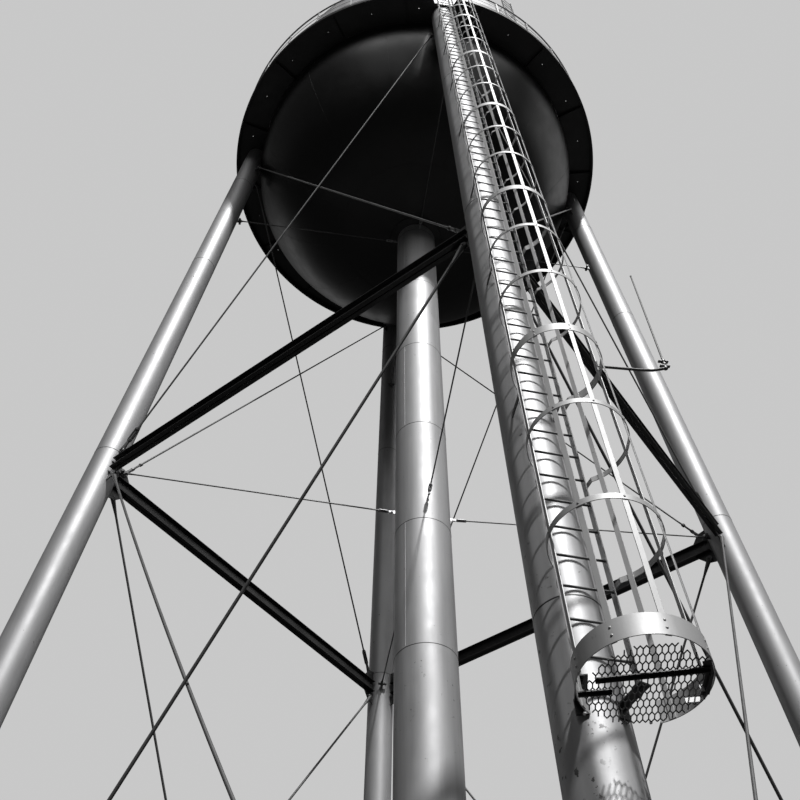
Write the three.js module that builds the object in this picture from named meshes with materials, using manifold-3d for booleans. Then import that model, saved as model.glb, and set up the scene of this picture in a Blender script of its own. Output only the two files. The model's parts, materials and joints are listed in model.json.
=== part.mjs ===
// Elevated water tank: a welded steel tower with four pipe legs, a central riser, tie rods,
// a balcony round the tank and a caged ladder up one leg.
// Millimetres, +Z up. The origin is the riser's axis at ground level.
// The leg that carries the ladder stands on -Y, and is called the near leg.
import * as THREE from 'three';
import { mergeVertices } from 'three/addons/utils/BufferGeometryUtils.js';
import Module from 'manifold-3d';

const wasm = await Module();
wasm.setup();

// Driving dimensions of the tower
const SEAT = 0.3;
const LEG_SPREAD = 6203;
const BATTER = 0.0708;
const LEG_RADIUS = 254;
const LEG_SIDES = 24;
const PIER_HEIGHT = 450;
const PIER_BASE = 1250;
const PIER_TOP = 1050;
const BASE_PLATE = 780;
const BASE_PLATE_THICK = 38;
const RIB_HEIGHT = 240;
const RIB_THICK = 16;
const PANEL_LEVEL = 13040;
const STRUT_DEPTH = 229;
const STRUT_FLANGE = 62;
const STRUT_WEB = 9;
const STRUT_FLANGE_THICK = 11;
const STRUT_END_ROOM = 500;
const BATTEN_SPACING = 1200;
const BATTEN_LENGTH = 160;
const BATTEN_HALF_HEIGHT = 70;
const GUSSET_THICK = 16;
const LUG_REACH = 105;
const EYE_RADIUS = 58;
const EYE_THICK = 38;
const ROD_SIDES = 4;
const UPPER_ROD_RADIUS = 16;
const LOWER_ROD_RADIUS = 19;
const TOP_LUG_LEVEL = 24900;
const PANEL_LUG_OFFSET = 265;
const BASE_LUG_LEVEL = 1050;
const TURNBUCKLE_RADIUS = 34;
const TURNBUCKLE_LENGTH = 300;
const TURNBUCKLE_FROM_END = 200;
const SLACK_ROD_SAG = 280;
const SLACK_ROD_STEPS = 6;

// Driving dimensions of the tank
const ROUND_SIDES = 40;
const TANK_RADIUS = 4190;
const TANK_PLATE = 10;
const BOWL_RIM_LEVEL = 25550;
const BOWL_DEPTH = 3120;
const SHELL_HEIGHT = 4600;
const ROOF_RISE = 1950;
const ROOF_CAP_RADIUS = 340;
const DOME_STEPS = 6;
const VENT_STEM_RADIUS = 230;
const VENT_CAP_RADIUS = 430;
const VENT_HEIGHT = 560;
const HATCH_SIZE = 720;
const HATCH_HEIGHT = 190;
const HATCH_REACH = 3050;
const HATCH_BEARING = -62;

// Driving dimensions of the balcony
const BALCONY_RADIUS = 4890;
const BALCONY_CURB_BOTTOM = 25860;
const BALCONY_CURB_DEPTH = 150;
const BALCONY_PLATE = 10;
const CURB_WEB = 8;
const CURB_FLANGE = 50;
const LADDER_NOTCH_WIDTH = 640;
const LADDER_NOTCH_DEPTH = 210;
const RAIL_RADIUS = 4842;
const RAIL_HEIGHT = 990;
const RAIL_POSTS = 32;
const POST_SIZE = 44;
const TOP_RAIL_SIZE = 42;
const MID_RAIL_DEPTH = 36;
const MID_RAIL_THICK = 10;
const MID_RAIL_SHARES = [0.36, 0.68];

// Driving dimensions of the riser and its stays
const RISER_RADIUS = 457;
const RISER_TOP = 22620;
const RISER_FLANGE_RADIUS = 590;
const RISER_FLANGE_THICK = 32;
const RISER_PIER_RADIUS = 900;
const COLLAR_THICK = 12;
const COLLAR_HEIGHT = 110;
const LOWER_STAY_LEVEL = 13040;
const LOWER_COLLAR_LEVEL = 12800;
const UPPER_STAY_LEVEL = 22200;
const STAY_RADIUS = 11;
const STAY_LUG_THICK = 14;
const STAY_LUG_REACH = 120;
const STAY_EYE_RADIUS = 34;

// Driving dimensions of the ladder and its cage, measured along the near leg
const LADDER_TWIST = 3;
const LADDER_SHIFT = -10;
const LADDER_STANDOFF = 405;
const LADDER_HALF_WIDTH = 190;
const LADDER_FOOT = 4850;
const LADDER_TOP = 27400;
const LADDER_RAIL_DEPTH = 64;
const LADDER_RAIL_THICK = 10;
const RUNG_RADIUS = 10;
const RUNG_SPACING = 304.8;
const LOWEST_RUNG = 5258;
const BRACKET_FOOT = 5600;
const BRACKET_SPACING = 2640;
const BRACKET_DEPTH = 60;
const CAGE_CENTRE = 822;
const CAGE_RADIUS = 389;
const CAGE_FOOT = 4735;
const CAGE_BAR_WIDTH = 38;
const CAGE_BAR_THICK = 7;
const CAGE_BAR_STEP = 45;
const CAGE_BAR_FACE = 384;
const HOOP_STEP = 22.5;
const CAGE_BAR_ANGLES = [-3, -2, -1, 0, 1, 2, 3].map((i) => i * CAGE_BAR_STEP);
// Middle of each hoop above the one at the cage's foot; every third one is a wide strap
const HOOP_RISES = [0, 1081, 2180, 3292, 4351, 5430, 6478, 7649, 8676, 9696, 10759, 11754,
  12710, 13677, 14632, 15568, 16540, 17510, 18480, 19450, 20420, 21390];
const HOOP_THICK = 6;
const THIN_HOOP = 51;
const WIDE_HOOP = 102;
const FOOT_BAND = 155;
const TAIL_ANGLE = 146.25;
const SIDE_SPLIT = 78.75;
const FRONT_SPLIT = 33.75;
const GUARD_THICK = 8;
const GUARD_BAR = 45;
const GUARD_SHEET_REACH = 376.7;
const GUARD_SHEET = [[-70, 298], [-50, 286], [-31, 289], [-5, 307], [14, 331], [34, 332],
  [45, GUARD_SHEET_REACH], [67.5, GUARD_SHEET_REACH], [90, GUARD_SHEET_REACH],
  [112.5, GUARD_SHEET_REACH], [135, GUARD_SHEET_REACH], [145, 365], [162, 365], [180, 365],
  [199, 365], [218, 365], [243, 362], [256, 329], [274, 301]];
const GUARD_BARS = [[[-287, -804], [307, -1014]], [[-290, -665], [-161, -703]]];

// Driving dimensions of the ladder on the tank and of the whip aerial
const TANK_LADDER_BEARING = -60;
const TANK_LADDER_HALF_WIDTH = 200;
const TANK_LADDER_STANDOFF = 190;
const TANK_LADDER_RISE = 5050;
const AERIAL_LEVEL = 8210;
const AERIAL_BAR_ANGLE = 90;
const AERIAL_BEARING = -3;
const AERIAL_ARM = 590;
const AERIAL_ARM_SIZE = 28;
const AERIAL_CLAMP_THICK = 30;
const AERIAL_MOUNT_RADIUS = 24;
const AERIAL_MOUNT_TOP = 150;
const WHIP_TOP = 1600;
const WHIP_RADIUS = 8;

// Worked out from the driving dimensions
const DEGREE = Math.PI / 180;
const LEG_TILT = Math.atan(BATTER);
const FACE_TILT = Math.atan(BATTER * Math.SQRT1_2);
const BALCONY_FLOOR = BALCONY_CURB_BOTTOM + BALCONY_CURB_DEPTH;
const LEG_TOP = BALCONY_FLOOR - BALCONY_PLATE - SEAT;
const LEG_FOOT = PIER_HEIGHT + SEAT;
const SHELL_TOP = BOWL_RIM_LEVEL + SHELL_HEIGHT;
const EYE_OFFSET = GUSSET_THICK / 2 + SEAT + EYE_THICK / 2;
const SIDE_NAMES = ['near', 'right', 'far', 'left'];

const colours = {
  silver: { color: 0xb9bbbc, roughness: 0.42, metalness: 0.55 },
  darkPaint: { color: 0x1c1c1d, roughness: 0.6, metalness: 0.2 },
  rod: { color: 0x3a3a3b, roughness: 0.55, metalness: 0.4 },
  cageSteel: { color: 0xc4c5c5, roughness: 0.4, metalness: 0.6 },
  concrete: { color: 0x8f8d88, roughness: 0.95, metalness: 0 },
};

// Helpers that turn geometry into closed solids and back
function solid(geometry) {
  const bare = geometry.index ? geometry.toNonIndexed() : geometry.clone();
  for (const name of Object.keys(bare.attributes)) {
    if (name !== 'position') bare.deleteAttribute(name);
  }
  const merged = mergeVertices(bare, 1e-3);
  const index = merged.index.array;
  const kept = [];
  for (let i = 0; i < index.length; i += 3) {
    const [a, b, c] = [index[i], index[i + 1], index[i + 2]];
    if (a !== b && b !== c && a !== c) kept.push(a, b, c);
  }
  const position = merged.attributes.position.array;
  if (signedVolume(position, kept) < 0) {
    for (let i = 0; i < kept.length; i += 3) [kept[i], kept[i + 1]] = [kept[i + 1], kept[i]];
  }
  return new wasm.Manifold(new wasm.Mesh({
    numProp: 3,
    vertProperties: new Float32Array(position),
    triVerts: new Uint32Array(kept),
  }));
}

function signedVolume(position, index) {
  let volume = 0;
  const [a, b, c] = [new THREE.Vector3(), new THREE.Vector3(), new THREE.Vector3()];
  for (let i = 0; i < index.length; i += 3) {
    a.fromArray(position, 3 * index[i]);
    b.fromArray(position, 3 * index[i + 1]);
    c.fromArray(position, 3 * index[i + 2]);
    volume += a.dot(b.cross(c)) / 6;
  }
  return volume;
}

function join(solids) {
  return solids.reduce((whole, piece) => whole.add(piece));
}

function geometryOf(manifold) {
  const mesh = manifold.getMesh();
  const geometry = new THREE.BufferGeometry();
  const position = new Float32Array(mesh.vertProperties);
  geometry.setAttribute('position', new THREE.BufferAttribute(position, 3));
  geometry.setIndex(new THREE.BufferAttribute(new Uint32Array(mesh.triVerts), 1));
  geometry.computeVertexNormals();
  return geometry;
}

function named(name, manifold, colour) {
  const mesh = new THREE.Mesh(geometryOf(manifold), new THREE.MeshStandardMaterial(colour));
  mesh.name = name;
  return mesh;
}

// Simple shapes
function box(x0, x1, y0, y1, z0, z1) {
  const geometry = new THREE.BoxGeometry(x1 - x0, y1 - y0, z1 - z0);
  geometry.translate((x0 + x1) / 2, (y0 + y1) / 2, (z0 + z1) / 2);
  return geometry;
}

function column(radius, z0, z1, sides) {
  const geometry = new THREE.CylinderGeometry(radius, radius, z1 - z0, sides);
  geometry.rotateX(Math.PI / 2);
  geometry.translate(0, 0, (z0 + z1) / 2);
  return geometry;
}

function bar(from, to, radius, sides) {
  const length = from.distanceTo(to);
  const geometry = new THREE.CylinderGeometry(radius, radius, length, sides);
  const turn = new THREE.Quaternion().setFromUnitVectors(
    new THREE.Vector3(0, 1, 0),
    to.clone().sub(from).normalize(),
  );
  geometry.applyQuaternion(turn);
  const middle = from.clone().add(to).multiplyScalar(0.5);
  geometry.translate(middle.x, middle.y, middle.z);
  return geometry;
}

function squareBar(from, to, width) {
  const length = from.distanceTo(to);
  const geometry = new THREE.BoxGeometry(length, width, width);
  geometry.rotateZ(Math.atan2(to.y - from.y, to.x - from.x));
  geometry.translate((from.x + to.x) / 2, (from.y + to.y) / 2, (from.z + to.z) / 2);
  return geometry;
}

function revolve(profile, sides = ROUND_SIDES) {
  const points = profile.map(([r, z]) => new THREE.Vector2(r, z));
  const geometry = new THREE.LatheGeometry(points, sides);
  geometry.rotateX(Math.PI / 2);
  return geometry;
}

function plate(outline, thickness) {
  const shape = new THREE.Shape(outline.map(([x, y]) => new THREE.Vector2(x, y)));
  return new THREE.ExtrudeGeometry(shape, { depth: thickness, bevelEnabled: false });
}

// A flat plate in the XZ plane, centred on y = offset
function uprightPlate(outline, thickness, offset = 0) {
  const geometry = plate(outline, thickness);
  geometry.rotateX(Math.PI / 2);
  geometry.translate(0, thickness / 2 + offset, 0);
  return geometry;
}

function hull2d(points) {
  const sorted = [...points].sort((p, q) => p[0] - q[0] || p[1] - q[1]);
  const turn = (o, a, b) => (a[0] - o[0]) * (b[1] - o[1]) - (a[1] - o[1]) * (b[0] - o[0]);
  const half = (list) => {
    const chain = [];
    for (const p of list) {
      while (chain.length > 1 && turn(chain.at(-2), chain.at(-1), p) <= 0) chain.pop();
      chain.push(p);
    }
    chain.pop();
    return chain;
  };
  return [...half(sorted), ...half(sorted.reverse())];
}

function disc2d(x, z, radius, sides = 8) {
  return Array.from({ length: sides }, (_, i) => {
    const a = (2 * Math.PI * i) / sides;
    return [x + radius * Math.cos(a), z + radius * Math.sin(a)];
  });
}

// The frame of one face of the tower: x runs along the face and z up its slope.
// The face between the legs at -135 and -45 degrees is turned to its place by the bearing.
function faceFrame(bearing) {
  const tilt = new THREE.Matrix4().makeRotationX(-FACE_TILT);
  tilt.setPosition(0, -LEG_SPREAD * Math.SQRT1_2, 0);
  return new THREE.Matrix4().makeRotationZ(bearing * DEGREE).multiply(tilt);
}

// Half the distance between two neighbouring leg axes, at a height up the sloping face
function halfFace(z) {
  return (LEG_SPREAD - BATTER * z * Math.cos(FACE_TILT)) * Math.SQRT1_2;
}

function lugPoint(side, z) {
  return [side * (halfFace(z) - LEG_RADIUS - LUG_REACH), z];
}

// Gusset plates on one leg, drawn in the frame of a face; side is -1 or 1 along that face
function gussets(side) {
  const axisPoint = (z) => [side * halfFace(z), z];
  const around = (z) => disc2d(...lugPoint(side, z), EYE_RADIUS + 12);
  const panelPoints = [
    axisPoint(PANEL_LEVEL + 420),
    axisPoint(PANEL_LEVEL - 420),
    ...around(PANEL_LEVEL + PANEL_LUG_OFFSET),
    ...around(PANEL_LEVEL - PANEL_LUG_OFFSET),
    [side * (halfFace(PANEL_LEVEL) - LEG_RADIUS - 330), PANEL_LEVEL + 95],
    [side * (halfFace(PANEL_LEVEL) - LEG_RADIUS - 330), PANEL_LEVEL - 95],
  ];
  const single = (z) => [axisPoint(z + 190), axisPoint(z - 190), ...around(z)];
  return [panelPoints, single(TOP_LUG_LEVEL), single(BASE_LUG_LEVEL)].map(
    (points) => uprightPlate(hull2d(points), GUSSET_THICK),
  );
}

// Half of the bowl's section, from the hole at its foot out to its rim
function bowlArc(radius, depth) {
  const start = Math.asin((RISER_RADIUS + SEAT) / Math.cos(Math.PI / ROUND_SIDES) / radius);
  const outline = [];
  for (let i = 0; i <= DOME_STEPS; i += 1) {
    const a = start + (Math.PI / 2 - start) * (i / DOME_STEPS);
    outline.push([radius * Math.sin(a), BOWL_RIM_LEVEL - SEAT / 2 - depth * Math.cos(a)]);
  }
  return outline;
}

// The bowl and shell as one filled form, to cut the leg tops and lugs to fit
function tankForm(clearance) {
  const radius = TANK_RADIUS + clearance;
  const bowl = bowlArc(radius, BOWL_DEPTH + clearance);
  return solid(revolve([[0, bowl[0][1]], ...bowl, [radius, SHELL_TOP], [0, SHELL_TOP]]));
}

// A leg with its base plate, ribs, gussets and stay lugs, standing at -Y
function legSolid() {
  const spare = 400;
  const length = LEG_TOP / Math.cos(LEG_TILT) + spare;
  const pipe = column(LEG_RADIUS, -spare, length, LEG_SIDES);
  pipe.rotateX(-LEG_TILT);
  pipe.translate(0, -LEG_SPREAD, 0);
  const footY = -LEG_SPREAD + BATTER * LEG_FOOT;
  const half = BASE_PLATE / 2;
  const plateTop = LEG_FOOT + BASE_PLATE_THICK;
  const pieces = [
    solid(pipe),
    solid(box(-half, half, footY - half, footY + half, LEG_FOOT, plateTop)),
  ];
  const rib = [[0, plateTop - 1], [half - 20, plateTop - 1], [half - 20, plateTop + 40],
    [LEG_RADIUS + 30, plateTop + RIB_HEIGHT], [0, plateTop + RIB_HEIGHT]];
  for (const bearing of [0, 90, 180, 270]) {
    const geometry = uprightPlate(rib, RIB_THICK);
    geometry.rotateZ(bearing * DEGREE);
    geometry.translate(0, footY, 0);
    pieces.push(solid(geometry));
  }
  for (const [side, bearing] of [[-1, 45], [1, -45]]) {
    for (const geometry of gussets(side)) {
      pieces.push(solid(geometry.applyMatrix4(faceFrame(bearing))));
    }
  }
  for (const level of [LOWER_STAY_LEVEL, UPPER_STAY_LEVEL]) {
    const axisY = -LEG_SPREAD + BATTER * level;
    const half = STAY_LUG_THICK / 2;
    const reach = LEG_RADIUS + STAY_LUG_REACH;
    pieces.push(solid(box(-half, half, axisY, axisY + reach, level - 50, level + 50)));
  }
  const keep = solid(box(-2000, 2000, -LEG_SPREAD - 2000, 0, LEG_FOOT, LEG_TOP));
  return join(pieces).intersect(keep).subtract(tankForm(SEAT));
}

function pierSolid() {
  const half = PIER_BASE / 2;
  const [topCorner, baseCorner] = [PIER_TOP * Math.SQRT1_2, half * Math.SQRT2];
  const geometry = new THREE.CylinderGeometry(topCorner, baseCorner, PIER_HEIGHT, 4);
  geometry.rotateY(45 * DEGREE);
  geometry.rotateX(Math.PI / 2);
  geometry.translate(0, -LEG_SPREAD + BATTER * LEG_FOOT, PIER_HEIGHT / 2);
  return solid(geometry);
}

// A strut of two channels back to back, one each side of the gussets, tied by battens
function strutSolid() {
  const reach = halfFace(PANEL_LEVEL) - LEG_RADIUS - 25;
  const inner = GUSSET_THICK / 2 + SEAT;
  const half = STRUT_DEPTH / 2;
  const edge = half - STRUT_FLANGE_THICK;
  const pieces = [];
  for (const side of [-1, 1]) {
    const y0 = side * inner;
    const y1 = side * (inner + STRUT_WEB);
    const y2 = side * (inner + STRUT_FLANGE);
    const section = [[y0, -half], [y2, -half], [y2, -edge], [y1, -edge],
      [y1, edge], [y2, edge], [y2, half], [y0, half]];
    const channel = plate(section, 2 * reach);
    // The section's own x and y become the strut's y and z
    channel.rotateX(Math.PI / 2);
    channel.rotateZ(Math.PI / 2);
    channel.translate(-reach, 0, 0);
    pieces.push(solid(channel));
  }
  const battens = Math.floor((reach - STRUT_END_ROOM) / BATTEN_SPACING);
  for (let i = -battens; i <= battens; i += 1) {
    const [x0, x1] = [-1, 1].map((side) => i * BATTEN_SPACING + (side * BATTEN_LENGTH) / 2);
    const depth = inner + 2;
    pieces.push(solid(box(x0, x1, -depth, depth, -BATTEN_HALF_HEIGHT, BATTEN_HALF_HEIGHT)));
  }
  return join(pieces).translate([0, 0, PANEL_LEVEL]);
}

// A tie rod between two lugs, with an eye at each end and a turnbuckle near its lower end;
// a slack one hangs in a shallow curve
function tieRodSolid(low, high, offset, radius, sag = 0) {
  const from = new THREE.Vector3(low[0], offset, low[1]);
  const to = new THREE.Vector3(high[0], offset, high[1]);
  const control = from.clone().lerp(to, 0.5);
  control.z -= 2 * sag;
  const path = sag > 0
    ? new THREE.QuadraticBezierCurve3(from, control, to)
    : new THREE.LineCurve3(from, to);
  const section = new THREE.Shape(disc2d(0, 0, radius, ROD_SIDES).map((p) => new THREE.Vector2(...p)));
  const steps = sag > 0 ? SLACK_ROD_STEPS : 1;
  const options = { steps, bevelEnabled: false, extrudePath: path };
  const pieces = [solid(new THREE.ExtrudeGeometry(section, options))];
  for (const end of [from, to]) {
    const eye = new THREE.CylinderGeometry(EYE_RADIUS, EYE_RADIUS, EYE_THICK, 8);
    eye.translate(end.x, end.y, end.z);
    pieces.push(solid(eye));
  }
  const length = path.getLength();
  const start = path.getPointAt(TURNBUCKLE_FROM_END / length);
  const stop = path.getPointAt((TURNBUCKLE_FROM_END + TURNBUCKLE_LENGTH) / length);
  pieces.push(solid(bar(start, stop, TURNBUCKLE_RADIUS, ROD_SIDES)));
  return join(pieces);
}

// A collar on the riser with four stays that reach the lugs on the legs
function staysSolid(level, legLevel) {
  const outer = RISER_RADIUS + COLLAR_THICK;
  const inner = RISER_RADIUS + SEAT;
  const low = level - COLLAR_HEIGHT / 2;
  const high = level + COLLAR_HEIGHT / 2;
  const ring = [[inner, low], [outer, low], [outer, high], [inner, high], [inner, low]];
  const pieces = [solid(revolve(ring, LEG_SIDES))];
  const lugRadius = LEG_SPREAD - BATTER * legLevel - LEG_RADIUS - STAY_LUG_REACH * 0.6;
  const side = STAY_LUG_THICK / 2 + SEAT + STAY_RADIUS;
  const [x0, x1] = [side - STAY_RADIUS, side + STAY_RADIUS];
  for (let i = 0; i < 4; i += 1) {
    const turn = (i * Math.PI) / 2;
    const put = (geometry) => pieces.push(solid(geometry.rotateZ(turn)));
    const start = new THREE.Vector3(side, -outer - 60, level);
    const end = new THREE.Vector3(side, -lugRadius, legLevel);
    put(bar(start, end, STAY_RADIUS, ROD_SIDES));
    put(box(x0, x1, -outer - 110, -outer + 5, level - 32, level + 32));
    const eye = new THREE.CylinderGeometry(STAY_EYE_RADIUS, STAY_EYE_RADIUS, x1 - x0, 10);
    eye.rotateZ(Math.PI / 2);
    eye.translate(end.x, end.y, end.z);
    put(eye);
  }
  return join(pieces);
}

// Tank pieces
function bowlSolid() {
  const outer = bowlArc(TANK_RADIUS, BOWL_DEPTH);
  const inner = bowlArc(TANK_RADIUS - TANK_PLATE, BOWL_DEPTH - TANK_PLATE).reverse();
  return solid(revolve([...outer, ...inner, outer[0]]));
}

function shellSolid() {
  const inner = TANK_RADIUS - TANK_PLATE;
  const low = BOWL_RIM_LEVEL + SEAT / 2;
  return solid(revolve([[inner, low], [TANK_RADIUS, low], [TANK_RADIUS, SHELL_TOP],
    [inner, SHELL_TOP], [inner, low]]));
}

function roofOutline(radius, rise) {
  const outline = [];
  const stop = Math.asin(ROOF_CAP_RADIUS / radius);
  for (let i = 0; i <= DOME_STEPS; i += 1) {
    const a = Math.PI / 2 + (stop - Math.PI / 2) * (i / DOME_STEPS);
    outline.push([radius * Math.sin(a), SHELL_TOP + SEAT + rise * Math.cos(a)]);
  }
  return outline;
}

function roofTop() {
  return SHELL_TOP + SEAT + ROOF_RISE + 20;
}

function roofSolid() {
  const outer = roofOutline(TANK_RADIUS, ROOF_RISE);
  const inner = roofOutline(TANK_RADIUS - TANK_PLATE, ROOF_RISE - TANK_PLATE).reverse();
  const cap = [[ROOF_CAP_RADIUS, roofTop()], [0, roofTop()], [0, inner[0][1]]];
  return solid(revolve([...outer, ...cap, ...inner, outer[0]]));
}

function roofForm(clearance) {
  const outline = roofOutline(TANK_RADIUS + clearance, ROOF_RISE + clearance);
  return solid(revolve([[0, SHELL_TOP - 500], [TANK_RADIUS + clearance, SHELL_TOP - 500], ...outline,
    [0, roofTop() + clearance]]));
}

function ventSolid() {
  const base = roofTop() + SEAT;
  const neck = base + VENT_HEIGHT - 260;
  return solid(revolve([[0, base], [VENT_STEM_RADIUS + 60, base], [VENT_STEM_RADIUS + 60, base + 16],
    [VENT_STEM_RADIUS, base + 16], [VENT_STEM_RADIUS, neck], [VENT_CAP_RADIUS, neck],
    [VENT_CAP_RADIUS, neck + 60], [VENT_CAP_RADIUS * 0.6, neck + 190], [0, base + VENT_HEIGHT]], 24));
}

// The roof hatch: a square curb with a lid, cut to sit on the curved roof
function hatchSolid() {
  const slope = Math.atan((ROOF_RISE / TANK_RADIUS) * (HATCH_REACH / TANK_RADIUS)
    / Math.sqrt(1 - (HATCH_REACH / TANK_RADIUS) ** 2));
  const level = SHELL_TOP + ROOF_RISE * Math.sqrt(1 - (HATCH_REACH / TANK_RADIUS) ** 2);
  const half = HATCH_SIZE / 2;
  const curb = solid(box(-half, half, -half, half, -160, HATCH_HEIGHT - 20));
  const lid = solid(box(-half - 25, half + 25, -half - 25, half + 25, HATCH_HEIGHT - 60, HATCH_HEIGHT));
  return curb.add(lid)
    .rotate([0, slope / DEGREE, 0])
    .translate([HATCH_REACH, 0, level])
    .rotate([0, 0, HATCH_BEARING])
    .subtract(roofForm(SEAT));
}

// Balcony pieces
function balconyFloorSolid() {
  const inner = TANK_RADIUS + SEAT;
  const floorBottom = BALCONY_FLOOR - BALCONY_PLATE;
  const webInner = BALCONY_RADIUS - CURB_WEB;
  const flangeInner = BALCONY_RADIUS - CURB_FLANGE;
  const flangeTop = BALCONY_CURB_BOTTOM + CURB_WEB;
  const floor = solid(revolve([[inner, floorBottom], [webInner, floorBottom], [webInner, flangeTop],
    [flangeInner, flangeTop], [flangeInner, BALCONY_CURB_BOTTOM], [BALCONY_RADIUS, BALCONY_CURB_BOTTOM],
    [BALCONY_RADIUS, BALCONY_FLOOR], [inner, BALCONY_FLOOR], [inner, floorBottom]]));
  const half = LADDER_NOTCH_WIDTH / 2;
  const notch = box(-half, half, -BALCONY_RADIUS - 50, -BALCONY_RADIUS + LADDER_NOTCH_DEPTH,
    BALCONY_CURB_BOTTOM - 50, BALCONY_FLOOR + 50);
  return floor.subtract(solid(notch));
}

// A curved rail, from one bearing to another in degrees
function curvedRail(from, to, thickness, z0, z1) {
  const steps = Math.max(1, Math.round((to - from) / (360 / RAIL_POSTS)));
  const edge = (radius, i) => {
    const a = (from + ((to - from) * i) / steps) * DEGREE;
    return [radius * Math.cos(a), radius * Math.sin(a)];
  };
  const outline = [];
  for (let i = 0; i <= steps; i += 1) outline.push(edge(RAIL_RADIUS + thickness / 2, i));
  for (let i = steps; i >= 0; i -= 1) outline.push(edge(RAIL_RADIUS - thickness / 2, i));
  const geometry = plate(outline, z1 - z0);
  geometry.translate(0, 0, z0);
  return geometry;
}

function railingSolid(from, to) {
  const base = BALCONY_FLOOR + SEAT;
  const top = BALCONY_FLOOR + RAIL_HEIGHT;
  const pitch = 360 / RAIL_POSTS;
  const pieces = [solid(curvedRail(from, to, TOP_RAIL_SIZE, top - TOP_RAIL_SIZE, top))];
  for (const share of MID_RAIL_SHARES) {
    const low = BALCONY_FLOOR + share * RAIL_HEIGHT - MID_RAIL_DEPTH / 2;
    pieces.push(solid(curvedRail(from, to, MID_RAIL_THICK, low, low + MID_RAIL_DEPTH)));
  }
  for (let bearing = -90 + pitch / 2; bearing < 270; bearing += pitch) {
    if (bearing < from - 0.01 || bearing > to + 0.01) continue;
    const half = POST_SIZE / 2;
    const post = box(RAIL_RADIUS - half, RAIL_RADIUS + half, -half, half, base, top - 2);
    pieces.push(solid(post.rotateZ(bearing * DEGREE)));
  }
  return join(pieces);
}

// Ladder pieces, drawn upright: x across the ladder, -y away from the leg, z up along the leg
function alongLeg(level) {
  return level / Math.cos(LEG_TILT);
}

function rung(half, y, z) {
  return bar(new THREE.Vector3(-half, y, z), new THREE.Vector3(half, y, z), RUNG_RADIUS, 4);
}

function ladderSolid() {
  const inner = LADDER_HALF_WIDTH - LADDER_RAIL_THICK / 2;
  const outer = LADDER_HALF_WIDTH + LADDER_RAIL_THICK / 2;
  const low = alongLeg(LADDER_FOOT);
  const high = alongLeg(LADDER_TOP);
  const pieces = [];
  for (const side of [-1, 1]) {
    const [x0, x1] = [side * inner, side * outer].sort((a, b) => a - b);
    pieces.push(solid(box(x0, x1, -LADDER_STANDOFF - LADDER_RAIL_DEPTH / 2,
      -LADDER_STANDOFF + LADDER_RAIL_DEPTH / 2, low, high)));
    for (let level = BRACKET_FOOT; level < BOWL_RIM_LEVEL; level += BRACKET_SPACING) {
      const bottom = alongLeg(level) - BRACKET_DEPTH / 2;
      pieces.push(solid(box(x0, x1, -LADDER_STANDOFF, -100, bottom, bottom + BRACKET_DEPTH)));
    }
  }
  for (let z = alongLeg(LOWEST_RUNG); z < high - 60; z += RUNG_SPACING) {
    pieces.push(solid(rung(LADDER_HALF_WIDTH, -LADDER_STANDOFF, z)));
  }
  const leg = column(LEG_RADIUS + SEAT, 0, high + 100, LEG_SIDES);
  leg.rotateZ(-LADDER_TWIST * DEGREE);
  leg.translate(-LADDER_SHIFT, 0, 0);
  return join(pieces).subtract(solid(leg));
}

function cagePoint(angle, radius) {
  const a = angle * DEGREE;
  return [radius * Math.sin(a), -CAGE_CENTRE - radius * Math.cos(a)];
}

// A corner of the hoop's many-sided form, whose flats lie on the round hoop at the bars
function hoopCorner(angle, radius) {
  return cagePoint(angle, radius / Math.cos((HOOP_STEP / 2) * DEGREE));
}

// The plan of one hoop's strap, from one angle to another; tails run back to the ladder's rails
function hoopOutline(from, to, tail) {
  const steps = Math.round((to - from) / HOOP_STEP);
  const outer = [];
  const inner = [];
  for (let i = 0; i <= steps; i += 1) {
    const angle = from + ((to - from) * i) / steps;
    outer.push(hoopCorner(angle, CAGE_RADIUS));
    inner.push(hoopCorner(angle, CAGE_RADIUS - HOOP_THICK));
  }
  const face = LADDER_HALF_WIDTH + LADDER_RAIL_THICK / 2 + SEAT;
  const [back, front] = [-LADDER_STANDOFF + 28, -LADDER_STANDOFF - 24];
  const tailOuter = [[face + HOOP_THICK, back], [face + HOOP_THICK, front]];
  const tailInner = [[face, back], [face, front - 2]];
  const mirrored = (points) => points.map(([x, y]) => [-x, y]);
  if (tail < 0) {
    outer.unshift(...mirrored(tailOuter));
    inner.unshift(...mirrored(tailInner));
  }
  if (tail > 0) {
    outer.push(...tailOuter.reverse());
    inner.push(...tailInner.reverse());
  }
  return [...outer, ...inner.reverse()];
}

function hoopHeight(i) {
  if (i === 0) return FOOT_BAND;
  return i % 3 === 0 ? WIDE_HOOP : THIN_HOOP;
}

function cageSolid(from, to, tail) {
  const outline = hoopOutline(from, to, tail);
  const foot = alongLeg(CAGE_FOOT);
  const pieces = HOOP_RISES.map((rise, i) => {
    const hoop = plate(outline, hoopHeight(i));
    hoop.translate(0, 0, foot + FOOT_BAND / 2 + rise - hoopHeight(i) / 2);
    return solid(hoop);
  });
  const top = foot + FOOT_BAND / 2 + HOOP_RISES.at(-1) + WIDE_HOOP / 2;
  const half = CAGE_BAR_WIDTH / 2;
  for (const angle of CAGE_BAR_ANGLES.filter((a) => a > from && a < to)) {
    const strip = box(-half, half, -CAGE_BAR_FACE, -CAGE_BAR_FACE + CAGE_BAR_THICK, foot, top);
    strip.rotateZ(angle * DEGREE);
    strip.translate(0, -CAGE_CENTRE, 0);
    pieces.push(solid(strip));
  }
  return join(pieces);
}

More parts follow.
